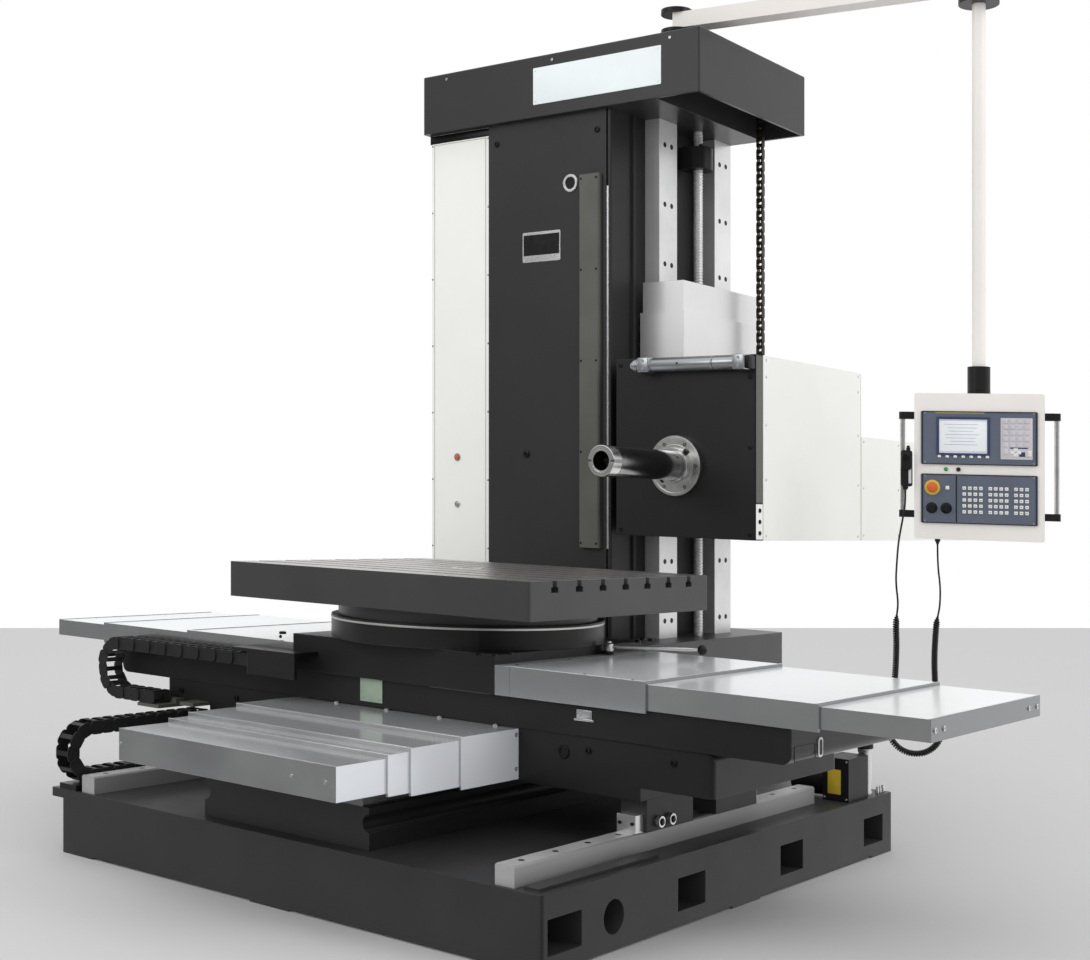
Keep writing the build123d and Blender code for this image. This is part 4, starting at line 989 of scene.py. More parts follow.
def makeColumnDetails():
    bm = bmesh.new()
    turned(bm, (columnEye["x"], columnEye["front"], columnEye["z"]), toFront, [
        (0, 0.024), (0, 0.036), (0.004, 0.036), (0.006, 0.034), (0.006, 0.026), (0.004, 0.024),
    ], 40, closed=True)
    keep(bm, "columnEyeRing", "base", "plainSteel")
    bm = bmesh.new()
    stud(bm, (columnEye["x"], columnEye["front"] + 0.0002, columnEye["z"]), toFront, 0.025, 0.024, 0.001, 32)
    turned(bm, (-0.774, 0.066, 1.419), toFront, [
        (-0.001, 0), (-0.001, 0.016), (0.004, 0.016), (0.006, 0.013), (0.006, 0.007), (0.002, 0.006),
        (0.002, 0),
    ], 28)
    for z in row(2.52, -0.36, 5):  # screws of the scale guard
        for x in (-0.484, -0.410):
            bolt(bm, (x, 0.0442, z - 0.012), toFront, 0.0045, 0.002, 12)
    for z in (0.74, 2.70):  # pins at the foot and head of the column
        for x in (-0.93, -0.42):
            bolt(bm, (x, 0.0662, z), toFront, 0.012, 0.006)
    for z in row(0.76, 0.24, 9):  # screws of the guides
        for y in (0.345, 0.395, 0.768, 0.818):
            stud(bm, (-0.2852, y, z), toRight, 0.011, 0.0105, 0.0006, 16)
    # a dark slab between the housing's top and the cap, painting the shade of the gap under the cap
    block(bm, (-1.3095, 0.0775, 2.744), (-0.975, 0.8625, 2.7785), 0.001)
    keep(bm, "columnPlugsAndShadeSlab", "base", "boltBlack")


def makeHousingDetails():  # white housing of the counterweight
    middle, front, fold = housing["middle"], housing["front"], housing["fold"]
    bm = bmesh.new()
    turned(bm, (middle, front, housing["button"]), toFront, [
        (0, 0), (0, 0.017), (0.003, 0.017), (0.0045, 0.0155), (0.0045, 0.012), (0.002, 0.012), (0.002, 0),
    ], 28)
    turned(bm, (middle, front, 1.206), toFront, [
        (0, 0), (0, 0.014), (0.004, 0.014), (0.006, 0.012), (0.006, 0.008), (0.009, 0.0075), (0.009, 0),
    ], 28)
    for x in (-1.296, -0.988):  # screws along the panel
        for z in row(0.74, 0.285, 8):
            stud(bm, (x, front, z), toFront, 0.0048, 0.004, 0.0012, 12)
    keep(bm, "housingFittings", "base", "plainSteel")
    bm = bmesh.new()
    turned(bm, (middle, 0.0762, housing["button"]), toFront, [
        (0, 0), (0, 0.0115), (0.006, 0.0105), (0.0075, 0.008), (0.008, 0),
    ], 24)
    keep(bm, "housingButton", "base", "signalOrange")
    bm = bmesh.new()
    for x in (housing["left"], housing["right"]):  # folded edges of the front panel
        block(bm, (x - fold, 0.0768, 0.70), (x + fold, 0.0782, 2.742), 0.0004, 1)
    for z in (0.702, 2.738):
        block(bm, (housing["left"], 0.0768, z - fold), (housing["right"], 0.0782, z + fold), 0.0004, 1)
    keep(bm, "housingSeams", "base", "seamGrey")


def makeBearingBolts():  # on top of the screw's upper bearing
    bm = bmesh.new()
    for y in (0.540, 0.622):
        for x in (-0.315, -0.236):
            bolt(bm, (x, y, 2.708), toTop, 0.008, 0.007)
    keep(bm, "bearingBolts", "base", "darkSteel")


headScrew = {
    "x": -0.275, "y": 0.581, "low": 0.690, "high": 2.779, "radius": 0.0198, "depth": 0.003, "pitch": 0.012,
}


def makeHeadScrew():  # a trapezoid thread wound up the whole screw
    x, y, low, high, radius, depth, pitch = headScrew.values()
    core, steps = radius - depth, 14
    turns = int((high - low) / pitch) - 1
    profile = [(core, 0.0), (core, 0.35), (radius, 0.5), (radius, 0.85), (core, 1.0)]
    bm = bmesh.new()
    verts = [bm.verts.new((x + reach, y, low + share * pitch)) for reach, share in profile]
    edges = [bm.edges.new(pair) for pair in zip(verts, verts[1:])]
    bmesh.ops.spin(
        bm, geom=verts + edges, cent=(x, y, 0), axis=toTop, dvec=(0, 0, pitch / steps),
        angle=math.tau * turns, steps=steps * turns,
    )
    bmesh.ops.remove_doubles(bm, verts=bm.verts, dist=1e-5)
    rod(bm, (x, y, low), (x, y, high), core + 0.0003, 24)
    keep(bm, "headScrewThread", "base", "groundSteel", stands=("head_screw",))


makeCapSign()
makeNamePlate()
makeColumnDetails()
makeHousingDetails()
makeBearingBolts()
makeHeadScrew()
print("column fitted")


# Headstock: edge strips, screws, lamp, flange and spindle nose
headCover = {
    "right": 0.331, "rear": 1.934, "screw": (0.0055, 0.0045, 0.0014),
    "sideScrews": ((0.078, 0.822), (1.125, 1.33, 1.53, 1.706, 1.768)),
    "tailScrews": ((0.872, 1.20, 1.56, 1.912), (1.128, 1.32, 1.508)),
    "lidScrews": ((-0.128, 0.09, 0.309), (1.13, 1.505)),
    "lid": (-0.1485, 0.3295, 1.112, 1.523),
    "fold": 0.0015,
}


def makeFrontPlate():  # strip and foot at its right edge, and the bolts of the casting
    bm = bmesh.new()
    block(bm, (0.3308, 0.003, 1.246), (0.3322, 0.050, 1.779), 0.0004, 1)
    keep(bm, "frontPlateStrip", "headstock", "greyPaint")
    bm = bmesh.new()
    block(bm, (0.3308, 0.003, 1.112), (0.3326, 0.050, 1.240), 0.0006, 1)
    keep(bm, "frontPlateFoot", "headstock", "whitePaint")
    bm = bmesh.new()
    for z in (1.135, 1.176, 1.217):
        bolt(bm, (0.3326, 0.0265, z), toRight, 0.008, 0.004)
    for x, z in (
        (-0.262, 1.130), (-0.262, 1.760), (0.308, 1.130), (0.308, 1.700), (-0.262, 1.445), (0.308, 1.445),
    ):
        bolt(bm, (x, 0.0003, z), toFront, 0.009, 0.003)
    for y in (0.300, 0.440, 0.721, 0.861):  # screws of the keeper strips
        for z in (1.15, 1.35, 1.55, 1.74):
            bolt(bm, (-0.3435, y, z), toLeft, 0.007, 0.002, 12)
    keep(bm, "headstockBolts", "headstock", "boltBlack")


def makeHeadCover():
    right, rear, screw = headCover["right"], headCover["rear"], headCover["screw"]
    bm = bmesh.new()
    places, levels = headCover["sideScrews"]
    for z in levels:
        for y in places:
            stud(bm, (right, y, z), toRight, *screw, 14)
    places, levels = headCover["tailScrews"]
    for y in places:
        for z in levels:
            stud(bm, (right, y, z), toRight, *screw, 14)
    places, levels = headCover["lidScrews"]
    for x in places:
        for z in levels:
            stud(bm, (x, rear, z), toBack, *screw, 14)
    keep(bm, "coverScrews", "headstock", "plainSteel")
    bm = bmesh.new()
    for y in (0.0545, 0.8455):  # folded edges of the side cover
        block(bm, (0.3306, y - 0.001, 1.110), (0.3318, y + 0.001, 1.781), 0.0003, 1)
    block(bm, (0.3306, 0.8485, 1.110), (0.3318, 0.8505, 1.525), 0.0003, 1)
    left, right, low, high = headCover["lid"]
    fold = headCover["fold"]
    for x in (left, right):  # frame of the rear lid
        block(bm, (x - fold, 1.9335, low), (x + fold, 1.9352, high), 0.0003, 1)
    for z in (low, high):
        block(bm, (left, 1.9335, z - fold), (right, 1.9352, z + fold), 0.0003, 1)
    for z in row(1.2, 0.022, 8):  # louvres in the rear lid
        place = Matrix.Translation((0.09, 1.9335, z)) @ Matrix.Rotation(-math.pi / 2, 4, "X")
        plate(bm, place, softOblong(0.24, 0.009, 0.004, 3), 0.0022, 0.0006)
    keep(bm, "coverFolds", "headstock", "seamGrey")


lamp = {"start": -0.188, "y": -0.031, "z": 1.752, "bands": (-0.154, 0.176), "brackets": (-0.145, 0.268)}


def makeWorkLamp():
    bm = bmesh.new()
    turned(bm, (lamp["start"], lamp["y"], lamp["z"]), toRight, [
        (0, 0), (0, 0.013), (0.006, 0.016), (0.012, 0.016), (0.016, 0.024), (0.028, 0.0245), (0.030, 0.0225),
        (0.034, 0.0225), (0.036, 0.0245), (0.048, 0.0245), (0.050, 0.0255), (0.360, 0.0255), (0.362, 0.0238),
        (0.366, 0.0238), (0.368, 0.0258), (0.452, 0.0258), (0.456, 0.0245), (0.456, 0),
    ], 40)
    for x in lamp["brackets"]:
        block(bm, (x, -0.059, 1.724), (x + 0.048, 0, 1.780), 0.004, 3)
    for x in (-0.121, 0.292):
        for z in (1.768, 1.736):
            bolt(bm, (x, -0.0588, z), toFront, 0.0055, 0.003)
    keep(bm, "workLampBody", "headstock", "lampSteel", stands=("work_lamp",))
    bm = bmesh.new()
    stud(bm, (0.030, -0.0562, 1.754), toFront, 0.0045, 0.004, 0.001, 14)
    for x in lamp["bands"]:
        ring(bm, (x, lamp["y"], lamp["z"]), toRight, 0.0228, 0.0240, 0.004, 40)
    block(bm, (0.3165, -0.050, 1.728), (0.3305, 0.0, 1.776), 0.003)
    for y in (0.272, 0.870):  # screws of the way guard
        bolt(bm, (-0.155, y, 1.792), toRight, 0.006, 0.004)
    for x in (-0.1005, -0.0555):  # screws of the chain anchor
        for y in (0.7295, 0.7745):
            bolt(bm, (x, y, 1.795), toTop, 0.005, 0.006, 12)
    keep(bm, "lampFittings", "headstock", "boltBlack")


spindle = {"z": 1.375, "nose": -0.496, "flange": -0.048, "slot": 12, "sides": 36, "wedge": 0.165}
flange = {
    "screws": 6, "circle": 0.091, "screwFace": -0.0265, "keyAngles": (45, 225),
    "keySize": (0.019, 0.010, 0.014),
}


def makeSpindleNose():
    bm = bmesh.new()
    gap = math.radians(spindle["slot"])
    outline = [  # along and radius; the sleeve lies just over the dark spindle
        (0.0, 0.040), (0.0, 0.0535), (0.0015, 0.05512), (0.052, 0.05512), (0.052, 0.0538), (0.006, 0.0538),
        (0.006, 0.040),
    ]
    for number in (0, 1):  # two halves, with the drive slots between them
        place = standing((0, spindle["nose"] - 0.0012, spindle["z"]), toBack)
        place = place @ Matrix.Rotation(math.pi * number + gap / 2, 4, "Z")
        face = bm.faces.new([bm.verts.new(place @ Vector((radius, 0, along))) for along, radius in outline])
        bmesh.ops.spin(
            bm, geom=[face], cent=place.translation, axis=place.to_3x3() @ Vector((0, 0, 1)),
            angle=math.pi - gap, steps=spindle["sides"],
        )
    turned(bm, (0, spindle["nose"] - 0.0008, spindle["z"]), toBack, [
        (0, 0.0350), (0, 0.0405), (0.0006, 0.0405), (0.004, 0.0350),
    ], 48, closed=True)
    keep(bm, "spindleNose", "boring_spindle", "noseSteel")
    bm = bmesh.new()
    for angle in (90, 270):  # dark plates over the cross hole for the wedge that drives the tool out, painting the shade inside the hole
        place = Matrix.Translation((0, spindle["nose"] + spindle["wedge"], spindle["z"]))
        place = place @ Matrix.Rotation(math.radians(angle), 4, "Y") @ Matrix.Translation((0, 0, 0.0538))
        plate(bm, place, softOblong(0.011, 0.052, 0.0054, 6), 0.0006)
    keep(bm, "spindleWedgeHoleShade", "boring_spindle", "boltBlack")


def makeFlange():
    bm = bmesh.new()
    turned(bm, (0, 0, spindle["z"]), toFront, [  # turned face of the flange round the collar
        (0.0256, 0.1080), (0.0268, 0.1075), (0.0268, 0.1020), (0.0262, 0.1012), (0.0262, 0.0800),
        (0.0272, 0.0792), (0.0272, 0.0672), (0.0250, 0.0672), (0.0250, 0.1080),
    ], 64, closed=True)
    turned(bm, (0, spindle["flange"] - 0.0006, spindle["z"]), toBack, [
        (0, 0.0563), (0, 0.0665), (0.0016, 0.0676), (0.012, 0.0676), (0.012, 0.0668), (0.004, 0.0660),
        (0.004, 0.0563),
    ], 56, closed=True)
    keep(bm, "flangeFace", "milling_spindle", "noseSteel")
    bm = bmesh.new()
    for step in range(flange["screws"]):  # screws in the holes of the flange
        angle = math.tau / flange["screws"] * step
        across, up = flange["circle"] * math.cos(angle), flange["circle"] * math.sin(angle)
        turned(bm, (across, flange["screwFace"], spindle["z"] + up), toFront, [
            (-0.012, 0), (-0.012, 0.0066), (0.0009, 0.0066), (0.0009, 0.004), (-0.003, 0.0036), (-0.003, 0),
        ], 20)
    for angle in flange["keyAngles"]:  # driving keys
        turn = Matrix.Translation((0, 0, spindle["z"])) @ Matrix.Rotation(math.radians(angle), 4, "Y")
        place = turn @ Matrix.Translation((0, -0.031, 0.0750)) @ Matrix.Diagonal((*flange["keySize"], 1))
        made = bmesh.ops.create_cube(bm, size=1, matrix=place)["verts"]
        edges = list({edge for vert in made for edge in vert.link_edges})
        bmesh.ops.bevel(bm, geom=edges, offset=0.001, segments=2, affect="EDGES", profile=0.5, material=-1)
    keep(bm, "flangeScrews", "milling_spindle", "darkSteel")


makeFrontPlate()
makeHeadCover()
makeWorkLamp()
makeSpindleNose()
makeFlange()
print("headstock fitted")


# Table, slide, saddle and bed
table = {"x": -0.336, "y": -0.814, "top": 0.9883, "turntable": 0.749}
slide = {"top": 0.7492}


def makeTableDetails():
    bm = bmesh.new()
    turned(bm, (table["x"], table["y"], table["top"]), toTop, [
        (-0.006, 0.0395), (0.0006, 0.0395), (0.0012, 0.0415), (0.0012, 0.0560), (0, 0.0570), (-0.003, 0.0570),
    ], 56, closed=True)
    keep(bm, "tableCentreRing", "table", "plainSteel")
    bm = bmesh.new()
    turned(bm, (table["x"], table["y"], table["turntable"]), toTop, [  # a bright steel band round the turntable's rim edge, which paints the highlight along that edge
        (0.063, 0.4695), (0.063, 0.4712), (0.0690, 0.4716), (0.0700, 0.4708), (0.0700, 0.4695),
    ], 120, closed=True)
    keep(bm, "turntableHighlightBand", "table_slide", "ringSteel")
    bm = bmesh.new()
    stud(bm, (-0.7702, -1.2842, 0.742), toFront, 0.006, 0.005, 0.004, 14)
    for y in (-1.24, -1.16, -0.46, -0.38):
        bolt(bm, (0.1292, y, slide["top"]), toTop, 0.010, 0.008)
    for y in (-1.262, -0.366):
        for x in (-0.785, 0.085):
            bolt(bm, (x, y, slide["top"]), toTop, 0.012, 0.008)
    keep(bm, "slideBolts", "table_slide", "boltBlack")


lever = {"x": 0.135, "y": -0.641, "z": 0.746, "foot": 0.7295, "angle": 30.0, "length": 0.300, "ball": 0.017}


def makeClampLever():
    angle = math.radians(lever["angle"])
    way = Vector((math.cos(angle), math.sin(angle), 0))
    hub = Vector((lever["x"], lever["y"], lever["z"]))
    bm = bmesh.new()
    turned(bm, (hub.x, hub.y, lever["foot"]), toTop, [
        (0, 0), (0, 0.0145), (0.0015, 0.016), (0.024, 0.016), (0.027, 0.014), (0.029, 0.009), (0.0335, 0.009),
        (0.0335, 0),
    ], 32)
    turned(bm, hub, way, [
        (0.012, 0), (0.012, 0.0055), (0.03, 0.007), (0.27, 0.007), (0.29, 0.0055), (0.305, 0.0055),
        (0.305, 0),
    ], 20)
    turned(bm, hub, -way, [(0.010, 0), (0.010, 0.006), (0.0145, 0.006), (0.0155, 0.005), (0.0155, 0)], 20)
    keep(bm, "clampLeverRod", "clamp_lever", "plainSteel", stands=("clamp_lever",))
    bm = bmesh.new()
    ball = lever["ball"]
    angles = [math.radians(angle) for angle in range(0, 181, 9)]
    profile = [(-ball * math.cos(angle), ball * math.sin(angle)) for angle in angles]
    profile[0], profile[-1] = (-ball, 0), (ball, 0)
    turned(bm, hub + way * (lever["length"] + ball * 0.8), way, profile, 32)
    keep(bm, "clampLeverBall", "clamp_lever", "blackPlastic")


coverLips = {  # raised edges of the covers, which grow or shrink by a step from one to the next
    "step": 0.008, "rise": 0.011, "width": 0.006, "height": 0.0023,
    "frontSpan": (-0.771, 0.161, 0.4945), "sideSpan": (-1.215, -0.413, 0.7175),
    "front": (  # body, front edge, width and height
        ("base", -1.9465, 0.004, 0.001), ("front_section_2", -1.7525, 0.006, 0.0023),
        ("front_section_3", -1.6665, 0.006, 0.0023), ("saddle", -1.4595, 0.006, 0.0023),
    ),
    "right": (("table_slide", 0.6625), ("right_section", 1.2095), ("saddle", 1.5225)),
    "left": (("table_slide", -1.3415), ("left_section", -1.8415), ("saddle", -2.1385)),
}


def addLip(name, body, low, high, paint):
    bm = bmesh.new()
    block(bm, low, high, 0.0007, 2)
    keep(bm, name, body, paint)


def makeCoverLips():
    left, right, level = coverLips["frontSpan"]
    for number, (body, y, width, height) in enumerate(coverLips["front"]):
        grown, z = coverLips["step"] * number, level + coverLips["rise"] * number
        low, high = (left - grown, y, z), (right + grown, y + width, z + height)
        addLip(f"frontLip{number + 1}", body, low, high, "frontSheet")
    front, back, level = coverLips["sideSpan"]
    for side in ("right", "left"):
        for number, (body, x) in enumerate(coverLips[side]):
            shrunk = coverLips["step"] * number
            z = level - shrunk
            low = (x, front + shrunk, z)
            high = (x + coverLips["width"], back - shrunk, z + coverLips["height"])
            addLip(f"{side}Lip{number + 1}", body, low, high, "coverSheet")


def makeCoverScrews():
    bm = bmesh.new()
    for x in (-0.7635, -0.011, 0.122):
        bolt(bm, (x, -1.947, 0.448), toFront, 0.0055, 0.0025, 12)
    keep(bm, "frontPlateScrews", "base", "plainSteel")
    bm = bmesh.new()
    for x in (-0.585, -0.355, -0.125, 0.105):
        bolt(bm, (x, -1.204, 0.528), toTop, 0.0085, 0.006, 12)
    for z in (0.510, 0.406):
        bolt(bm, (0.185, -1.204, z), toRight, 0.0065, 0.003, 12)
        bolt(bm, (-0.795, -1.204, z), toLeft, 0.0065, 0.003, 12)
    keep(bm, "coverFourScrews", "saddle", "plainSteel")
    bm = bmesh.new()
    turned(bm, (0.3585, -1.190, 0.4775), toFront, [
        (0, 0), (0, 0.021), (0.003, 0.021), (0.005, 0.019), (0.005, 0.0135), (0.002, 0.0125), (0.002, 0),
    ], 32)
    keep(bm, "saddleScrews", "saddle", "boltBlack")


coverFlange = {
    "front": -1.2158, "fold": -1.2010, "low": 0.7178, "high": 0.7196, "inner": 0.156, "edge": 0.170,
}


def makeSlideCoverFlange():  # flanges of the covers beside the slide
    front, fold, low, high, inner, edge = coverFlange.values()
    bm = bmesh.new()
    block(bm, (inner, front, low), (0.664, fold, high), 0.0006, 1)
    block(bm, (inner, front, 0.628), (edge, -1.2148, 0.7190), 0.0004, 1)
    block(bm, (inner, fold, low), (edge, -0.414, high), 0.0006, 1)
    block(bm, (-1.337, front, low), (-0.845, fold, high), 0.0006, 1)
    keep(bm, "slideCoverFlange", "table_slide", "coverSheet")
    bm = bmesh.new()
    for x, y in ((0.163, -1.17), (0.163, -0.90), (0.163, -0.46), (0.45, -1.208), (0.62, -1.208)):
        stud(bm, (x, y, 0.7194), toTop, 0.0048, 0.0038, 0.0016, 12)
    keep(bm, "slideCoverScrews", "table_slide", "boltBlack")


beam = {"front": -1.1958, "right": 1.529, "left": -2.139, "wayTop": 0.6664, "ways": (-1.084, -0.544)}
rails = (0.585, -1.195)
slotPlate = {"y": -1.033, "z": 0.5675, "frame": (-1.18, -1.06, 0.541, 0.582), "rim": 0.002}


def makeBeamFittings():
    bm = bmesh.new()
    for x, way in ((beam["right"], 1), (beam["left"], -1)):  # bright screws of the end plates
        for y in (-1.176, -1.120, -0.519, -0.455):
            bolt(bm, (x, y, 0.672), (way, 0, 0), 0.0080, 0.004, 14)
    block(bm, (0.412, -1.1990, 0.583), (0.468, beam["front"], 0.612), 0.001)
    block(bm, (0.404, -1.2010, 0.578), (0.476, beam["front"], 0.585), 0.001)
    for x in (0.422, 0.458):
        turned(bm, (x, beam["front"], 0.5975), toFront, [(0, 0), (0, 0.007), (0.005, 0.006), (0.006, 0)], 16)
    place = facingRight(1.1288, slotPlate["y"], slotPlate["z"])
    plate(bm, place, softOblong(0.027, 0.056, 0.013, 8), 0.0035, 0.001)
    keep(bm, "beamFittings", "saddle", "plainSteel")
    bm = bmesh.new()
    block(bm, (-0.480, -1.1995, 0.547), (-0.380, beam["front"], 0.633), 0.0012)
    for x in (-0.468, -0.392):
        for z in (0.559, 0.621):
            bolt(bm, (x, -1.1994, z), toFront, 0.004, 0.002, 12)
    keep(bm, "beamPlate", "saddle", "plateGreen")
    bm = bmesh.new()
    block(bm, (-0.174, -1.1985, 0.6215), (0.076, beam["front"], 0.6335), 0.001)
    keep(bm, "beamStrip", "saddle", "greyPaint")


def makeSaddleFittings():
    bm = bmesh.new()
    front, back, low, high = slotPlate["frame"]
    rim = slotPlate["rim"]
    for y, endY, z, endZ in (
        (front, front + rim, low, high), (back - rim, back, low, high),
        (front, back, low, low + rim), (front, back, high - rim, high),
    ):
        block(bm, (1.1285, y, z), (1.1302, endY, endZ))
    place = facingRight(1.1322, slotPlate["y"], slotPlate["z"])
    plate(bm, place, softOblong(0.016, 0.044, 0.0078, 8), 0.0008)
    for x in row(-1.62, 0.24, 12):  # screws of the cross ways
        for y in beam["ways"]:
            stud(bm, (x, y, beam["wayTop"]), toTop, 0.010, 0.0095, 0.0005, 16)
    for x in (-1.40, -1.10, 0.45, 0.75):
        bolt(bm, (x, -1.1902, 0.492), toFront, 0.010, 0.007)
    for y in (-1.09, -1.03):  # pins of the rollers
        for x in (0.645, -1.135):
            turned(bm, (x, y, 0.2955), toRight, [
                (0, 0), (0, 0.0110), (0.001, 0.0110), (0.001, 0.0085), (0.004, 0.0080), (0.005, 0.0065),
                (0.005, 0),
            ], 20)
    for rail in rails:  # screws of the wiper blocks
        for x in (rail - 0.022, rail + 0.022):
            bolt(bm, (x, -1.1902, 0.298), toFront, 0.0055, 0.004, 12)
    keep(bm, "saddleFittings", "saddle", "boltBlack")


railClamp = {
    "y": -0.476, "rods": 3, "circle": 0.0145, "rod": 0.003, "low": 0.3455, "high": 0.3662, "inner": 0.0209,
}


def makeRailClampRods():
    y, inner = railClamp["y"], railClamp["inner"]
    bm = bmesh.new()
    for x in rails:
        for step in range(railClamp["rods"]):
            angle = math.radians(90 + 360 / railClamp["rods"] * step)
            across, along = railClamp["circle"] * math.cos(angle), railClamp["circle"] * math.sin(angle)
            foot = (x + across, y + along, railClamp["low"])
            rod(bm, foot, (*foot[:2], railClamp["high"]), railClamp["rod"], 12)
        lower = [(0, inner), (0, 0.0222), (0.008, 0.0226), (0.010, inner)]
        upper = [(0, inner), (0.002, 0.0226), (0.014, 0.0226), (0.016, inner)]
        for level, profile in ((0.276, lower), (0.326, upper)):
            turned(bm, (x, y, level), toTop, profile, 28, closed=True)
    keep(bm, "railClampRods", "saddle", "plainSteel")


def makeBedPlugs():
    bm = bmesh.new()
    for x in rails:  # plugs over the rail screws
        for y in row(-1.68, 0.15, 11):
            stud(bm, (x, y, 0.2702), toTop, 0.0095, 0.009, 0.0005, 16)
    for x in (-0.585, -0.025):  # and over the screws of the saddle's ways
        for y in row(-1.62, 0.17, 9):
            stud(bm, (x, y, 0.3662), toTop, 0.0085, 0.008, 0.0004, 16)
    for y in (-0.90, -0.40, 0.20):  # foundation screws on the bed's left ledge
        bolt(bm, (-1.30, y, 0.2122), toTop, 0.014, 0.012, 18)
    keep(bm, "bedPlugs", "base", "boltBlack")


motor = {"x": 0.470, "y": 0.081, "z": 0.293, "fins": (0.018, 0.012, 9), "screws": (0.608, 0.692)}
oilFilter = {"x": 0.664, "y": 0.200, "foot": 0.212, "cap": 0.377}


def makeMotorDetails():
    bm = bmesh.new()
    for offset in row(*motor["fins"]):  # cooling fins
        ring(bm, (motor["x"] + offset, motor["y"], motor["z"]), toRight, 0.0545, 0.0610, 0.0035, 36)
    keep(bm, "motorFins", "base", "blackPlastic")
    bm = bmesh.new()
    plate(bm, facing(0.645, -0.0002, 0.279), softOblong(0.050, 0.086, 0.003), 0.0012, 0.0003)
    keep(bm, "motorLabel", "base", "signalYellow")


def makeOilFilter():
    bm = bmesh.new()
    for x in motor["screws"]:
        for z in (0.222, 0.352):
            bolt(bm, (x, 0.0, z), toFront, 0.004, 0.003, 12)
    turned(bm, (oilFilter["x"], oilFilter["y"], oilFilter["foot"]), toTop, [
        (0, 0), (0, 0.026), (0.010, 0.026), (0.012, 0.0235), (0.150, 0.0235), (0.153, 0.0255),
        (0.160, 0.0262), (0.165, 0.0262), (0.165, 0),
    ], 40)
    for step, y in enumerate(row(0.245, 0.022, 3)):  # fittings; the middle one is a hexagon
        turned(bm, (0.6905, y, 0.2125), toTop, [
            (0, 0), (0, 0.007), (0.016, 0.007), (0.016, 0.0045), (0.026, 0.0045), (0.026, 0),
        ], 6 if step % 2 else 14)
    keep(bm, "oilFilterBody", "base", "plainSteel", stands=("oil_filter",))
    bm = bmesh.new()
    turned(bm, (oilFilter["x"], oilFilter["y"], oilFilter["cap"]), toTop, [
        (0, 0), (0, 0.0285), (0.002, 0.030), (0.014, 0.030), (0.018, 0.026), (0.020, 0.018), (0.020, 0),
    ], 40)
    keep(bm, "oilFilterCap", "base", "blackPlastic")


makeTableDetails()
makeClampLever()
makeCoverLips()
makeCoverScrews()
makeSlideCoverFlange()
makeBeamFittings()
makeSaddleFittings()
makeRailClampRods()
makeBedPlugs()
makeMotorDetails()
makeOilFilter()
print("table and bed fitted")


# Control pendant: screen, keys, knobs, hand unit and grips. Places and sizes of keys are in millimetres.
def onFace(across, up, lift=0.0):  # a frame on the display panels, z towards whoever stands before them
    return pendantFrame(across / 1000, pendant["panel"] + lift, up / 1000)


def key(bm, across, up, width, height, low, high, bevel=0.0006):  # low and high are above the panels
    outline = softOblong(width / 1000, height / 1000, 0.0015, 3)
    plate(bm, onFace(across, up, low), outline, high - low, bevel)


keyboard = {
    "screen": (-54, 368, 165, 120),
    "rim": 9,
    "softKeys": (297, row(-136, 27.5, 7)),
    "keypad": (128, 362, 108, 146),
    "levels": row(100, 21, 5),
    "places": [-50, -31, -12, 7, 39, 57.5, 76, 94.5, 126, 144.5, 163],
    "panels": ((267, 457), (57, 233)),
}


def makeScreen():
    across, up, width, height = keyboard["screen"]
    rim = keyboard["rim"]
    bm = bmesh.new()
    for side in (-1, 1):
        key(bm, across + side * (width + rim) / 2, up, rim, height + 2 * rim, 0, 0.004, 0.001)
        key(bm, across, up + side * (height + rim) / 2, width, rim, 0, 0.004, 0.001)
    key(bm, across, up - height / 2 - 4, width + 18, 5, 0, 0.002)
    keep(bm, "screenFrame", "pendant", "screenBlue")
    bm = bmesh.new()
    key(bm, across, up, width, height, 0, 0.0016, 0.0003)
    keep(bm, "screenGlass", "pendant", "screenGlass")
    bm = bmesh.new()
    for line in range(7):  # faint lines of the picture, without words
        inset, length = 5 * (line % 2) - 8, 118 - 16 * (line % 3)
        key(bm, across + inset, up + 42 - 12 * line, length, 2.5, 0.0016, 0.0018, 0.0)
    key(bm, across, up + height / 2 - 4, width - 4, 4, 0.0016, 0.0018, 0.0)
    key(bm, across, up - height / 2 + 5, width - 4, 6, 0.0016, 0.0018, 0.0)
    keep(bm, "screenLines", "pendant", "screenFaint")


def makeKeypad():  # letter keys beside the screen
    across, up, width, height = keyboard["keypad"]
    bm = bmesh.new()
    key(bm, across, up, width, height, 0, 0.002)
    keep(bm, "keypadPlate", "pendant", "keyGrey")
    bm = bmesh.new()
    for rise in row(-22, 21, 5):
        for shift in row(-37, 24, 4):
            key(bm, across + shift, up + rise, 19, 16, 0.002, 0.0044, 0.001)
    for shift, rise in ((-37, -46), (37, -54)):
        key(bm, across + shift, up + rise, 16, 20, 0.002, 0.0044, 0.001)
    keep(bm, "letterKeys", "pendant", "keyGrey")


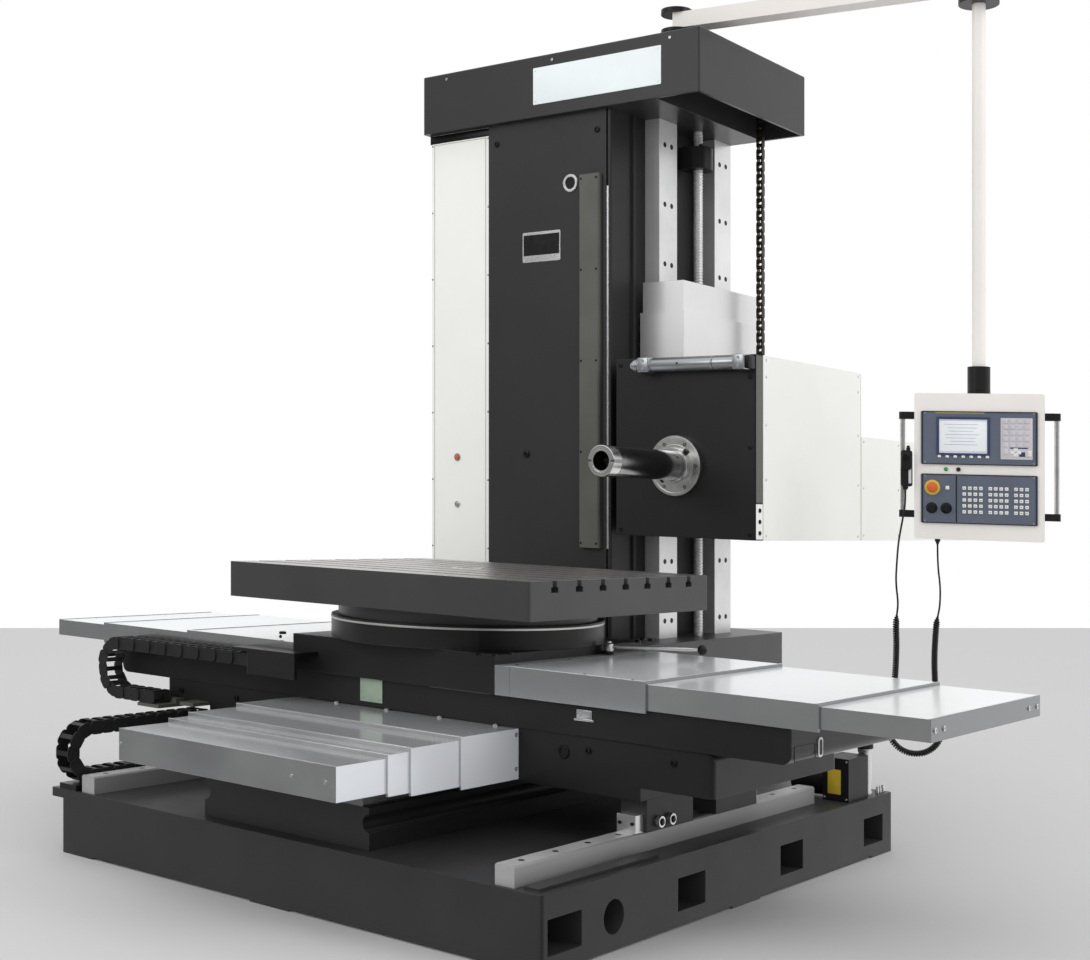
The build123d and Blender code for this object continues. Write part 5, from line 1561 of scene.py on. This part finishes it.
def makeWhiteKeys():
    across, up = keyboard["keypad"][:2]
    bm = bmesh.new()
    for shift, rise in ((-14, -48), (8, -48), (-3, -39), (-3, -57)):  # the arrows
        key(bm, across + shift, up + rise, 15, 12, 0.002, 0.0046, 0.001)
    key(bm, across + 45, up - 52, 12, 20, 0.002, 0.0048, 0.001)
    level, places = keyboard["softKeys"]
    for place in places:
        key(bm, place, level, 12, 11, 0, 0.0038, 0.001)
    for level in keyboard["levels"]:
        for place in keyboard["places"]:
            key(bm, place, level, 12.5, 12, 0, 0.0036, 0.001)
    key(bm, -108, 184, 13, 13, 0, 0.004, 0.001)
    keep(bm, "whiteKeys", "pendant", "keyWhite")
    bm = bmesh.new()
    for level in keyboard["levels"]:  # a mark on each key
        for place in keyboard["places"]:
            key(bm, place, level, 5, 2, 0.0036, 0.0038, 0.0)
    key(bm, across + 22, up - 55, 26, 16, 0.002, 0.003, 0.0)
    key(bm, across + 8, up - 33, 60, 4, 0.002, 0.003, 0.0)
    keep(bm, "keyMarks", "pendant", "screenBlue")


def makePanelRims():
    bm = bmesh.new()
    key(bm, -66, 451, 170, 5, 0, 0.0008, 0.0)
    keep(bm, "yellowStrip", "pendant", "oliveStrip")
    bm = bmesh.new()
    for low, high in keyboard["panels"]:
        for side in (-1, 1):
            key(bm, side * 194.5, (low + high) / 2, 3, high - low, 0, 0.0025)
        for level in (low + 1.5, high - 1.5):
            key(bm, 0, level, 386, 3, 0, 0.0025)
    key(bm, -77, 145, 4, 166, 0, 0.001, 0.0)
    keep(bm, "panelRims", "pendant", "blackPlastic")


knobs = {"stop": (-160, 184), "turning": (-162, -112), "level": 111, "radius": 0.016, "buttons": 0.250}


def makeKnobs():
    bm = bmesh.new()
    stop = onFace(*knobs["stop"])
    turnedOn(bm, stop, [(0, 0), (0, 0.027), (0.0025, 0.027), (0.0035, 0.025), (0.0035, 0)], 28)
    keep(bm, "stopRing", "pendant", "signalYellow")
    bm = bmesh.new()
    turnedOn(bm, stop, [
        (0.003, 0), (0.003, 0.009), (0.014, 0.009), (0.015, 0.017), (0.019, 0.0185), (0.023, 0.017),
        (0.026, 0.011), (0.027, 0),
    ], 28)
    keep(bm, "stopButton", "pendant", "signalOrange")
    bm = bmesh.new()
    radius = knobs["radius"]
    for across in knobs["turning"]:
        turnedOn(bm, onFace(across, knobs["level"]), [
            (0, 0), (0, radius + 0.004), (0.002, radius + 0.003), (0.003, radius), (0.014, radius * 0.82),
            (0.016, radius * 0.75), (0.016, 0),
        ], 28)
        key(bm, across, knobs["level"], 4.5, radius * 1500, 0.014, 0.0215, 0.001)
    place = pendantFrame(-0.070, pendant["face"], knobs["buttons"])
    turnedOn(bm, place, [(0, 0), (0, 0.008), (0.004, 0.007), (0.009, 0.006), (0.009, 0)], 20)
    keep(bm, "blackKnobs", "pendant", "blackPlastic")
    bm = bmesh.new()
    place = pendantFrame(-0.113, pendant["face"], knobs["buttons"])
    turnedOn(bm, place, [
        (0, 0), (0, 0.0075), (0.004, 0.007), (0.007, 0.005), (0.0085, 0.002), (0.0088, 0),
    ], 20)
    keep(bm, "greenLamp", "pendant", "signalGreen")


def makePanelScrews():
    bm = bmesh.new()
    for up in (274, 450, 64, 226):
        for across in (-186, 186):
            turnedOn(bm, onFace(across, up), [(0, 0), (0, 0.004), (0.0016, 0.0034), (0.0016, 0)], 12)
    for side in (-1, 1):  # screws on the sides of the box
        for up in (0.090, 0.430):
            spot = pendantFrame(side * 0.2130, 0.0, up)
            stud(bm, spot.translation, spot.to_3x3() @ Vector((side, 0, 0)), 0.005, 0.004, 0.0018, 12)
    keep(bm, "panelScrews", "pendant", "plainSteel")


handUnit = {"across": -0.250, "middle": 0.078, "plug": -0.254, "ribs": (0.205, 0.009, 5), "ribReach": 0.0190}


def makeHandUnit():
    across, middle = handUnit["across"], handUnit["middle"]
    bm = bmesh.new()
    plate(bm, pendantFrame(across, 0.055, 0.250), softOblong(0.040, 0.130, 0.009, 6), 0.037, 0.004)
    plate(bm, pendantFrame(across, 0.090, 0.276), softOblong(0.034, 0.064, 0.008, 5), 0.008, 0.002)
    down = Vector((0, 0, -1))
    turned(bm, pendantFrame(handUnit["plug"], middle, 0.189).translation, down, [
        (0, 0), (0, 0.013), (0.004, 0.0125), (0.005, 0.0105), (0.010, 0.0095), (0.014, 0.0078),
        (0.0165, 0.0055), (0.0165, 0),
    ], 20)
    turned(bm, pendantFrame(across + 0.006, middle, 0.312).translation, -down, [
        (0, 0), (0, 0.0075), (0.012, 0.0075), (0.013, 0.0055), (0.019, 0.0055), (0.020, 0.0035), (0.020, 0),
    ], 16)
    for side in (-1, 1):  # ribs where the hand holds it
        for up in row(*handUnit["ribs"]):
            place = pendantFrame(across + side * handUnit["ribReach"], 0.062, up)
            plate(bm, place, softOblong(0.004, 0.004, 0.0015, 2), 0.026, 0.0008)
    keep(bm, "handUnitBody", "pendant", "blackPlastic", stands=("hand_unit",))
    bm = bmesh.new()
    turnedOn(bm, pendantFrame(across - 0.002, 0.097, 0.288), [
        (0, 0), (0, 0.0140), (0.0015, 0.0140), (0.002, 0.0125), (0.004, 0.0120), (0.005, 0.0110), (0.005, 0),
    ], 32)
    keep(bm, "handUnitDial", "pendant", "darkSteel")
    bm = bmesh.new()
    plate(bm, pendantFrame(across + 0.0125, 0.0915, 0.223), softOblong(0.010, 0.054, 0.002, 3), 0.0008)
    keep(bm, "handUnitLabel", "pendant", "keyGrey")


coupling = {"rings": ((1.668, 0.0402), (1.690, 0.0395), (1.735, 0.0330)), "wall": 0.003, "height": 0.004}


def makeCoupling():
    bm = bmesh.new()
    for z, radius in coupling["rings"]:
        place = (*pendant["hang"], z)
        ring(bm, place, toTop, radius - coupling["wall"], radius, coupling["height"], 40)
    keep(bm, "couplingRings", "pendant", "boltBlack")


makeScreen()
makeKeypad()
makeWhiteKeys()
makePanelRims()
makeKnobs()
makePanelScrews()
makeHandUnit()
makeCoupling()
print("pendant fitted")


def addFloorPoint(x, y):  # the floor point that the camera sees at a pixel
    yaw = math.radians(camera["yaw"])
    right = Vector((math.cos(yaw), math.sin(yaw), 0))
    away = Vector((-math.sin(yaw), math.cos(yaw), 0))
    across = x - camera["middle"]
    depth = camera["pixelFocal"] * camera["place"][2] / (y - camera["horizon"] - camera["skew"] * across)
    return Vector(camera["place"][:2] + (0,)) + away * depth + right * (across / camera["pixelFocal"] * depth)


studio = {
    "floorTone": 0.60,
    "frontGlow": 0.2,  # what metal reflects from the side of the camera
    "backGlow": 0.95,
    "skyGlow": 0.95,
    "lamps": (
        ("keyLamp", (5.5, 1.5, 5.5), (0, 0, 1.2), (3, 3), 70),
        ("frontLamp", (-3.5, -8, 5), (-0.3, -0.5, 1.2), (4, 4), 110),
    ),
    "worldLight": 1.0,
}


def hangLamp(name, place, target, size, power):
    data = bpy.data.lights.new(name, "AREA")
    data.shape = "RECTANGLE"
    data.size, data.size_y = size
    data.energy = power
    lamp = bpy.data.objects.new(name, data)
    lamp.location = place
    lamp.rotation_euler = (Vector(target) - Vector(place)).to_track_quat("-Z", "Y").to_euler()
    bpy.context.scene.collection.objects.link(lamp)


def makeFloor():
    corners = [
        addFloorPoint(-900, camera["floorEdge"]),
        addFloorPoint(2000, camera["floorEdge"]),
        Vector((14, -16, 0)),
        Vector((-16, -12, 0)),
    ]
    mesh = bpy.data.meshes.new("floor")
    mesh.from_pydata([corner[:] for corner in corners], [], [(3, 2, 1, 0)])
    floor = bpy.data.objects.new("floor", mesh)
    bpy.context.scene.collection.objects.link(floor)
    material = bpy.data.materials.new("floor")
    material.use_nodes = True
    shader = material.node_tree.nodes["Principled BSDF"]
    shader.inputs["Base Color"].default_value = (*[studio["floorTone"]] * 3, 1)
    shader.inputs["Roughness"].default_value = 0.9
    mesh.materials.append(material)
    floor.visible_glossy = False  # the steel reflects only the room


def makeWorld():  # white behind the machine, even light on it, and a darker front in its reflections
    world = bpy.data.worlds.new("studio")
    world.use_nodes = True
    tree = world.node_tree
    plain = tree.nodes["Background"]
    plain.inputs["Color"].default_value = (1, 1, 1, 1)
    plain.inputs["Strength"].default_value = studio["worldLight"]
    white = addNode(tree, "Background", {"Color": (1, 1, 1, 1), "Strength": 1.0})
    mirrored = addNode(tree, "Background", {"Strength": 1.0})
    way = addNode(tree, "SeparateXYZ")
    tree.links.new(addNode(tree, "TexCoord").outputs["Generated"], way.inputs[0])
    behind = addRange(tree, way.outputs["Y"], -0.55, 0.35)
    rise = studio["backGlow"] - studio["frontGlow"]
    level = addMath(tree, "MULTIPLY_ADD", behind, rise, studio["frontGlow"])
    above = addRange(tree, way.outputs["Z"], 0.15, 0.8)
    level = addMix(tree, above, level, studio["skyGlow"], "FLOAT")
    tree.links.new(level, mirrored.inputs["Color"])
    path = addNode(tree, "LightPath")
    first = addNode(tree, "MixShader")
    second = addNode(tree, "MixShader")
    tree.links.new(path.outputs["Is Glossy Ray"], first.inputs[0])
    tree.links.new(plain.outputs[0], first.inputs[1])
    tree.links.new(mirrored.outputs[0], first.inputs[2])
    seen = addMath(tree, "MAXIMUM", path.outputs["Is Camera Ray"], path.outputs["Is Transmission Ray"])
    tree.links.new(seen, second.inputs[0])
    tree.links.new(first.outputs[0], second.inputs[1])
    tree.links.new(white.outputs[0], second.inputs[2])
    tree.links.new(second.outputs[0], tree.nodes["World Output"].inputs["Surface"])
    bpy.context.scene.world = world


makeFloor()
makeWorld()
for settings in studio["lamps"]:
    hangLamp(*settings)
bpy.context.scene.view_settings.view_transform = "Standard"
print("studio lit")
